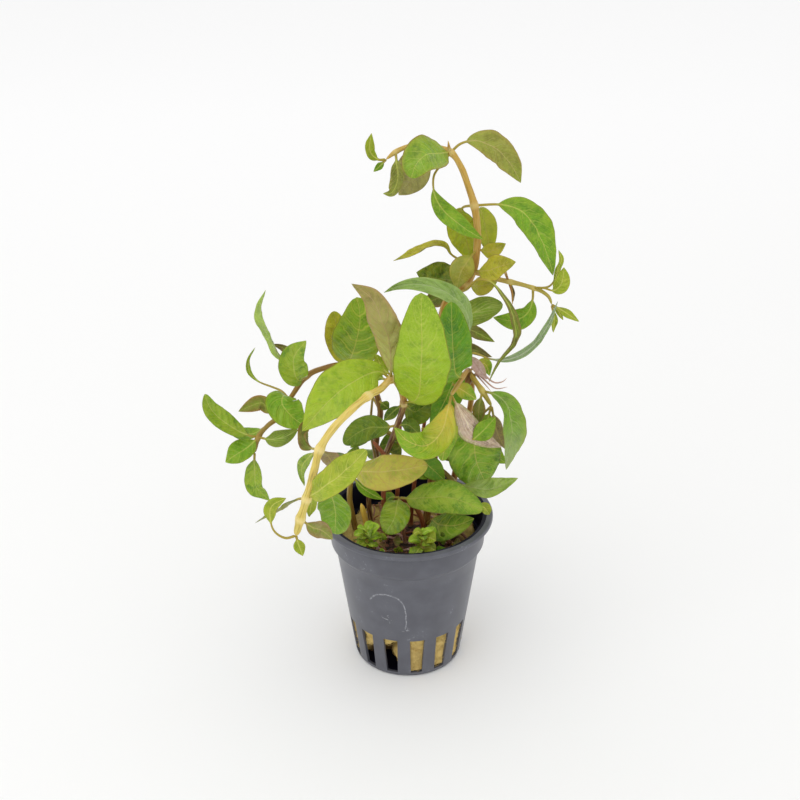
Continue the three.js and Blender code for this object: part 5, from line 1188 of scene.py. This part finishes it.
stemLook = dict(streaks=2.6, stretch=0.08, cloudMm=3.5, cloudShare=0.12)
stemLooks = {
    "tall": dict(stops=((0.0, "#74441a"), (0.3, "#96601e"), (0.55, "#a67a28"), (0.75, "#c09a3e"),
                        (1.0, "#c2a64a")), collar="#d6c078"),
    "side": dict(stops=((0.0, "#b48c3c"), (0.5, "#b8a44a"), (1.0, "#a8a43c")), collar="#d6c474"),
    "front": dict(stops=((0.0, "#54301c"), (0.38, "#6c4226"), (0.47, "#c4923f"), (0.6, "#dec462"),
                         (1.0, "#d0be5a")), collar="#f0dc98"),
    "left": dict(stops=((0.0, "#5c3c1c"), (0.4, "#78501e"), (0.7, "#94702a"), (1.0, "#8c7c30")),
                 collar="#b09448"),
    "lowRight": dict(stops=((0.0, "#74441c"), (0.5, "#a26c28"), (1.0, "#b89a42")), collar="#cfb268"),
    "lowShoot": dict(stops=((0.0, "#b09238"), (1.0, "#b4aa40")), collar="#d0c06c"),
    "leaning": dict(stops=((0.0, "#74541f"), (1.0, "#94863a")), collar="#b4a456"),
    "shortLeft": dict(stops=((0.0, "#74501f"), (1.0, "#a08a38")), collar="#b4a456"),
    "arc": dict(stops=((0.0, "#7c3c20"), (1.0, "#94522e")), collar="#a8744a"),
    "root": dict(stops=((0.0, "#7c5038"), (1.0, "#9c6c54")), collar="#b08c74"),
    "airRoot": dict(stops=((0.0, "#b08474"), (1.0, "#d0b0a4")), collar="#dcc4bc"),
    "cutStub": dict(stops=((0.0, "#c8963c"), (1.0, "#f0cc50")), collar="#f0dc80"),
}


def stemSkin(name):
    look = stemLooks[name]
    skin, tree, surface, add = newSkin("stem " + name, {
        "Roughness": 0.42, "IOR": 1.42, "Subsurface Weight": 0.2, "Subsurface Scale": 1.0 * mm,
        "Subsurface Radius": (1.0, 0.6, 0.2)})
    share, run, ring = [add("ShaderNodeAttribute", attribute_name=label).outputs["Fac"]
                        for label in ("share", "run", "ring")]
    turned = add("ShaderNodeAttribute", attribute_name="round").outputs["Vector"]
    x, y, _ = add("ShaderNodeSeparateXYZ", [turned]).outputs
    streak = add("ShaderNodeCombineXYZ",
                 [x, y, add(maths, [run, stemLook["stretch"]], operation="MULTIPLY")])
    streak = add("ShaderNodeTexNoise", {"Vector": streak, "Scale": stemLook["streaks"], "Detail": 3.0})
    place = add("ShaderNodeTexCoord").outputs["Object"]
    cloud = add("ShaderNodeTexNoise",
                {"Vector": place, "Scale": perMm / stemLook["cloudMm"], "Detail": 2.0})
    age = add("ShaderNodeMix", [stemLook["cloudShare"], None, share, cloud])
    ramp = add("ShaderNodeValToRGB", [age.outputs[0]])
    stops = look["stops"]
    for i, (position, tint) in enumerate(stops):
        stop = ramp.color_ramp.elements[i] if i in (0, 1) else ramp.color_ramp.elements.new(position)
        stop.position = position
        stop.color = linear(tint)
    colour = ramp.outputs["Color"]
    light = add(mapRange, {"Value": streak, "From Min": 0.45, "From Max": 0.7, "To Max": 0.4})
    dark = add(mapRange, {"Value": streak, "From Min": 0.45, "From Max": 0.3, "To Max": 0.45})
    collar = add(mapRange, {"Value": ring, "From Min": 0.35, "To Max": 0.75})
    for mask, tint in ((light, look["collar"]), (dark, stops[0][1]), (collar, look["collar"])):
        colour = add("ShaderNodeMix", {0: mask, 6: colour, 7: linear(tint)}, data_type="RGBA").outputs[2]
    bump = add("ShaderNodeBump", {"Strength": 0.4, "Distance": 0.1 * mm, "Height": streak})
    tree.links.new(colour, surface.inputs["Base Color"])
    tree.links.new(bump.outputs[0], surface.inputs["Normal"])
    return skin


# Plantlets: short upright shoots with crossed pairs of small leaves

plantlets = {
    "plantlet_left": dict(at=(-13, -11.5), height=7.5, spread=5.4, leaves=13, turn=20, seed=3,
                          skins=("sprout", "glossyGreen", "sprout")),
    "plantlet_front": dict(at=(4.4, -14.5), height=8.0, spread=6.2, leaves=16, turn=65, seed=8,
                           skins=("glossyGreen", "sprout", "youngLime", "sprout")),
}
plantletForm = dict(buried=1.5, foot=0.6, tip=0.4, turn=137, petiole=0.12)
soilLine = 44.8         # height of the wool's top


def makePlantlet(name, look, stemShape, leafShape):
    x, y = look["at"]
    foot, top = soilLine - plantletForm["buried"], soilLine + look["height"]
    stalk = makeStem(name + "_stalk", [(x, y, foot), (x + 0.3, y, (foot + top) / 2), (x, y, top)],
                     plantletForm["foot"], plantletForm["tip"], [1], stemSkins["lowShoot"], stemShape)
    parts = [stalk]
    chance = np.random.default_rng(look["seed"])
    for number in range(look["leaves"]):
        share = number / (look["leaves"] - 1)
        reach = look["spread"] * (1.0 - 0.4 * share) * chance.uniform(0.65, 1.15)
        turn = math.radians(look["turn"] + plantletForm["turn"] * number + chance.uniform(-35, 35))
        out = np.array([math.cos(turn), math.sin(turn), chance.uniform(-0.15, 0.6) + 0.6 * share])
        start = np.array([x, y, soilLine + look["height"] * (0.2 + 0.8 * share) - 0.4])
        leaf = dict(path=[tuple(start + out * reach * 0.5 + (0, 0, 0.5)),
                          tuple(start + out * reach - (0, 0, chance.uniform(0, 1.6)))],
                    width=reach * chance.uniform(0.65, 0.95),
                    face=(chance.uniform(-0.5, 0.5), -0.5 + chance.uniform(-0.4, 0.4), 1))
        form = {**leafForm, **smallLeafForm, "petiole": plantletForm["petiole"], "blunt": True,
                "fold": chance.uniform(0.1, 0.6)}
        skin = look["skins"][number % len(look["skins"])]
        parts.append(makeLeaf(f"{name}_{number}", leaf, tuple(start), leafSkins[skin], leafShape, form))
    return joined(name + "_fine", parts)


# Small growth that is mesh alone, by the stem or plug that it grows on: rods are thin stems and roots

extras = {
    "tall": dict(
        rods=[
            dict(path=[(12.6, 11.4, 166.8), (12.2, 11.2, 169.6)], foot=0.45, tip=0.2, skin="tall")],
        leaves=[]),
    "lowRight": dict(
        rods=[
            dict(path=[(19.6, 4.5, 98.6), (18.2, 2, 96.6), (16.8, 0, 95.2)], foot=1.4, tip=1.2,
                 skin="left"),
            dict(path=[(19.5, 4, 103), (23, 3, 100), (27, 2, 97), (29.5, 1.5, 97.6), (30.6, 1, 99)],
                 foot=0.4, tip=0.16, skin="airRoot"),
            dict(path=[(20, 3.6, 101.5), (24, 2.5, 97.6), (27.4, 1.6, 95.2), (31, 1.4, 95.8)], foot=0.36,
                 tip=0.14, skin="airRoot"),
            dict(path=[(21, 3.4, 99.6), (24.6, 2.4, 95.6), (26, 2, 94)], foot=0.3, tip=0.12,
                 skin="airRoot")],
        leaves=[
            dict(path=[(19, 3.8, 105.5), (21.5, 3, 102), (24.6, 2.2, 98)], width=3.6,
                 face=(0.2, -0.9, 0.3), skin="pinkPaper", petiole=0.05, fold=0.5),
            dict(path=[(13.5, -6.4, 100.6), (17, -6.8, 98.4), (21, -7, 95.6)], width=5,
                 face=(0, -0.8, 0.6), skin="yellowing", petiole=0.1, fold=0.4),
            dict(path=[(19.6, -12.4, 84.6), (23, -11.4, 87.4), (26.6, -10.2, 91.2)], width=6,
                 face=(0.3, -0.8, 0.5), skin="freshGreen", petiole=0.04, fold=0.3),
            dict(path=[(17.4, 2.4, 104.5), (15.8, 0.6, 103), (13.4, -1.4, 97), (10, -3, 90),
                 (7, -3.6, 85)], width=9, face=(0.2, -0.9, 0.3), skin="bandedGreen", petiole=0.1,
                 fold=0.25)]),
    "side": dict(
        rods=[
            dict(path=[(29.9, 11, 129.6), (31.2, 10.8, 126), (32.2, 10.5, 122.8), (32.4, 10.5, 119.4)],
                 foot=0.34, tip=0.3, skin="lowRight")],
        leaves=[]),
    "front": dict(
        rods=[],
        leaves=[
            dict(path=[(-4, -13.6, 106.2), (-7.2, -12.2, 108.6), (-9, -11.4, 112.6)], width=4.2,
                 face=(0.2, -0.9, 0.3), skin="youngLime"),
            dict(path=[(-3.6, -13, 106), (-3.4, -11, 110), (-5.6, -10.4, 113.4)], width=3.8,
                 face=(-0.2, -0.9, 0.3), skin="smoothLime"),
            dict(path=[(-5.4, -15, 105.6), (-9.4, -12.4, 106.4), (-12, -11, 109)], width=3.4,
                 face=(0.2, -0.8, 0.5), skin="freshGreen")]),
    "leaning": dict(
        rods=[
            dict(path=[(-4, 3, 44.6), (-3, 2.5, 62), (-2.4, 1.5, 78), (-1.6, 0.5, 93)], foot=0.75,
                 tip=0.5, skin="arc"),
            dict(path=[(1, 5, 44.6), (2.5, 5, 62), (5, 4.5, 79), (7.6, 4, 95)], foot=0.7, tip=0.5,
                 skin="arc"),
            dict(path=[(-7, -1, 44.6), (-7.6, -2, 60), (-6.6, -3, 73), (-10.6, -4, 80)], foot=0.8,
                 tip=0.7, skin="arc"),
            dict(path=[(-9, 7, 62), (-11.5, 6.5, 78), (-10.4, 6, 94)], foot=0.5, tip=0.35,
                 skin="leaning")],
        leaves=[
            dict(path=[(4.5, 2, 81.5), (8.6, 1.6, 79)], width=5, face=(0.1, -0.9, 0.3), skin="deepGreen"),
            dict(path=[(-1, 1, 76), (-5.5, 0.4, 73.6)], width=5.4, face=(0, -0.8, 0.6),
                 skin="spottedDark"),
            dict(path=[(3, 1, 74), (7.6, 0, 72)], width=5.6, face=(0, -0.8, 0.5), skin="deepGreen"),
            dict(path=[(6.4, 3, 88.6), (10, 2, 85), (11.6, 1.6, 81)], width=4.6, face=(0, -0.9, 0.3),
                 skin="rolledOlive"),
            dict(path=[(-8.6, 4, 90), (-5.6, 3.6, 87.4)], width=3.4, face=(0, -0.9, 0.3),
                 skin="deepGreen")]),
    "wool": dict(
        rods=[
            dict(path=[(-12.9, 0.5, 44.4), (-13.8, 0.2, 50), (-14.8, -0.4, 55.6)], foot=1.0, tip=0.85,
                 skin="cutStub"),
            dict(path=[(-0.6, -6, 44.4), (-1.2, -6.2, 48.4), (-1, -6, 52.4)], foot=0.55, tip=0.5,
                 skin="root"),
            dict(path=[(14.6, -7.6, 44.4), (11.4, -9, 47.4), (8, -8.6, 46)], foot=0.6, tip=0.4,
                 skin="root"),
            dict(path=[(-9.4, -9.6, 44.2), (-10.6, -10.4, 47.6), (-9, -11.6, 49.6)], foot=0.55, tip=0.4,
                 skin="airRoot"),
            dict(path=[(13, -2, 44.2), (16.6, -4.4, 47.2), (19.6, -7, 45.6)], foot=0.7, tip=0.5,
                 skin="root")],
        leaves=[
            dict(path=[(-8.6, -11, 48), (-7.6, -11.8, 51.6)], width=3.6, face=(0, -1, 0.3),
                 skin="glossyGreen"),
            dict(path=[(-9.6, -14.6, 45.6), (-7, -16.6, 47.6)], width=3.4, face=(0, -0.6, 0.8),
                 skin="smoothLime"),
            dict(path=[(-3.6, -13.6, 45.4), (-2.4, -15.6, 49)], width=3, face=(0.2, -0.9, 0.3),
                 skin="glossyGreen"),
            dict(path=[(-15.6, -13.4, 45.4), (-17.2, -14.6, 47.8)], width=3.2, face=(0.3, -0.7, 0.6),
                 skin="freshGreen"),
            dict(path=[(8.8, -15, 45.4), (11.8, -15.6, 48.4)], width=3.6, face=(-0.2, -0.7, 0.6),
                 skin="bandedGreen"),
            dict(path=[(21, -5.4, 57.4), (24, -4.6, 56.6), (26.2, -4, 53.4)], width=3.6,
                 face=(0.2, -0.8, 0.5), skin="youngLime", fold=0.5),
            dict(path=[(1.6, 3.4, 71), (6, 2.4, 68.4), (12, 1.2, 63)], width=7, face=(0, -0.8, 0.5),
                 skin="bandedGreen"),
            dict(path=[(9.6, -9.6, 47.6), (12.6, -10.6, 49)], width=4, face=(0, -0.7, 0.7),
                 skin="deepGreen"),
            dict(path=[(-1.6, -9.6, 46.8), (-4.6, -11, 48.4)], width=4, face=(0, -0.7, 0.7),
                 skin="brownTip"),
            dict(path=[(14, -9.6, 46), (17, -11.4, 47)], width=4.2, face=(0, -0.6, 0.8),
                 skin="pinkBrown"),
            dict(path=[(1.6, -3.6, 46.6), (4.6, -6, 48)], width=4, face=(0, -0.7, 0.7),
                 skin="rolledOlive")]),
}
tangle = dict(count=34, steps=6, stride=2.4, reach=19.5, within=0.75, lift=0.9, wander=0.7, foot=0.34,
              tip=0.2, skins=("root", "arc", "airRoot"), seed=12)


def makeExtras(name, parts):
    # adds the small growth of that name to the parts of the piece that it grows on
    for number, rod in enumerate(extras[name]["rods"]):
        parts.append(makeStem(f"{name}_rod_{number}", rod["path"], rod["foot"], rod["tip"], [0],
                              stemSkins[rod["skin"]], stemShape))
    for number, leaf in enumerate(extras[name]["leaves"]):
        form = {**leafForm, **smallLeafForm, **{k: v for k, v in leaf.items() if k in leafForm}}
        whole = {**leaf, "path": leaf["path"][1:]}
        parts.append(makeLeaf(f"{name}_leaf_{number}", whole, leaf["path"][0], leafSkins[leaf["skin"]],
                              leafShape, form))


def makeTangle():
    # fine roots that wander over the wool
    chance = np.random.default_rng(tangle["seed"])
    roots = []
    for number in range(tangle["count"]):
        place = chance.uniform(-tangle["within"], tangle["within"], 2) * tangle["reach"]
        heading = chance.uniform(0, math.tau)
        path = []
        for _ in range(tangle["steps"]):
            path.append((*place, soilLine + chance.uniform(-tangle["lift"], tangle["lift"])))
            heading += chance.normal(0, tangle["wander"])
            place = place + tangle["stride"] * np.array([math.cos(heading), math.sin(heading)])
            place *= min(1, tangle["reach"] / np.linalg.norm(place))
        roots.append(makeStem(f"root_{number}", path, tangle["foot"], tangle["tip"], [0],
                              stemSkins[tangle["skins"][number % len(tangle["skins"])]], stemShape))
    return roots


# Making of every piece

stemSkins = {name: stemSkin(name) for name in stemLooks}
leafSkins = {name: leafSkin(name) for name in leafLooks}
stemShape, leafShape = stemTree(), leafTree()

potPiece = makePot()
dress(potPiece, "pot_plastic", "pot")
print("pot made")

woolParts = [makeWool()] + makeTangle()
makeExtras("wool", woolParts)
dress(joined("rock_wool_plug", woolParts), "rock_wool", "rock_wool")
print("rock wool and roots made")

for name, stem in stems.items():
    points = stemPoints(stem)
    parts = [makeStem(stem["node"] + "_rod", points, stem["foot"], stem["tip"], stem["rings"],
                      stemSkins[name], stemShape, stem["taper"])]
    for number, leaf in enumerate(stem["small"]):
        look = {**leafLook, **leafLooks[leaf["skin"]]}
        form = {**leafForm, **smallLeafForm, "pairs": look["pairs"], "slant": look["slant"],
                **{k: v for k, v in leaf.items() if k in leafForm}}
        parts.append(makeLeaf(f"{stem['node']}_{number}", leaf, points[leaf["at"]], leafSkins[leaf["skin"]],
                              leafShape, form))
    if name in extras:
        makeExtras(name, parts)
    dress(joined(stem["node"] + "_fine", parts), "young_stem" if name in ("side", "lowShoot") else "stem",
          stem["node"])
print("stems and small leaves made")

leafSlots = {node["node"]: node["material_slot"] for node in frame["record"]["subparts"]}
for node, leaf in leaves.items():
    look = {**leafLook, **leafLooks[leaf["skin"]]}
    form = {**leafForm, "pairs": look["pairs"], "slant": look["slant"],
            **{k: v for k, v in leaf.items() if k in leafForm}}
    piece = makeLeaf(node + "_fine", leaf, stemPoints(stems[leaf["stem"]])[leaf["at"]],
                     leafSkins[leaf["skin"]], leafShape, form)
    dress(piece, leafSlots[node], node)
print("leaves made")

for node, look in plantlets.items():
    dress(makePlantlet(node, look, stemShape, leafShape), "green_leaf", node)
print("plantlets made")


# Stage, light and camera

studio = dict(floorSize=8.0, near="#f6f6f5", far="#fefefe", farFrom=0.9, sky=0.94, keyPower=2.9,
              keySize=0.9, keyPlace=(-0.45, -0.5, 1.1), keyAim=(0, 0, 0.08), lens=53.55, sensor=36.0,
              clipFrom=0.01, cameraPlace=(0.0, -0.3301, 0.2509), tilt=25.68, turn=0.37, roll=-0.42)


def makeStage():
    # a sweep of white paper: nearly flat grey at the pot, with painted light that makes it lighter behind
    mesh = bpy.data.meshes.new("paper_floor")
    half = studio["floorSize"] / 2
    corners = [(-half, -half, 0), (half, -half, 0), (half, half, 0), (-half, half, 0)]
    mesh.from_pydata(corners, [], [(0, 1, 2, 3)])
    floor = placed("paper_floor", mesh)
    paper, tree, surface, add = newSkin("white paper", {"Roughness": 0.85})
    y = add("ShaderNodeSeparateXYZ", [add("ShaderNodeTexCoord").outputs["Object"]]).outputs["Y"]
    # painted light: the paper's colour grows lighter away from the pot, standing in for the fall of the
    # light
    paintedLightBehind = add(mapRange, {"Value": y, "From Min": 0.0, "From Max": studio["farFrom"]},
               interpolation_type="SMOOTHSTEP")
    colour = add("ShaderNodeMix", {0: paintedLightBehind, 6: linear(studio["near"]), 7: linear(studio["far"])},
                 data_type="RGBA")
    tree.links.new(colour.outputs[2], surface.inputs["Base Color"])
    mesh.materials.append(paper)


def makeLight():
    world = bpy.data.worlds.new("studio")
    bpy.context.scene.world = world
    world.use_nodes = True
    sky = world.node_tree.nodes["Background"]
    sky.inputs["Color"].default_value = (1, 1, 1, 1)
    sky.inputs["Strength"].default_value = studio["sky"]
    lamp = bpy.data.lights.new("soft box", "AREA")
    lamp.energy = studio["keyPower"]
    lamp.size = studio["keySize"]
    box = placed("soft_box", lamp)
    box.location = studio["keyPlace"]
    aim = Vector(studio["keyAim"]) - Vector(studio["keyPlace"])
    box.rotation_euler = aim.to_track_quat("-Z", "Y").to_euler()


def makeCamera():
    lens = bpy.data.cameras.new("camera")
    lens.lens = studio["lens"]
    lens.sensor_width = studio["sensor"]
    lens.clip_start = studio["clipFrom"]
    camera = placed("camera", lens)
    camera.matrix_world = (Matrix.Translation(studio["cameraPlace"])
                           @ Matrix.Rotation(math.radians(studio["turn"]), 4, "Z")
                           @ Matrix.Rotation(math.radians(90 - studio["tilt"]), 4, "X")
                           @ Matrix.Rotation(math.radians(studio["roll"]), 4, "Z"))
    bpy.context.scene.camera = camera


makeStage()
makeLight()
makeCamera()
bpy.context.scene.view_settings.view_transform = "Standard"
print("stage, light and camera made")
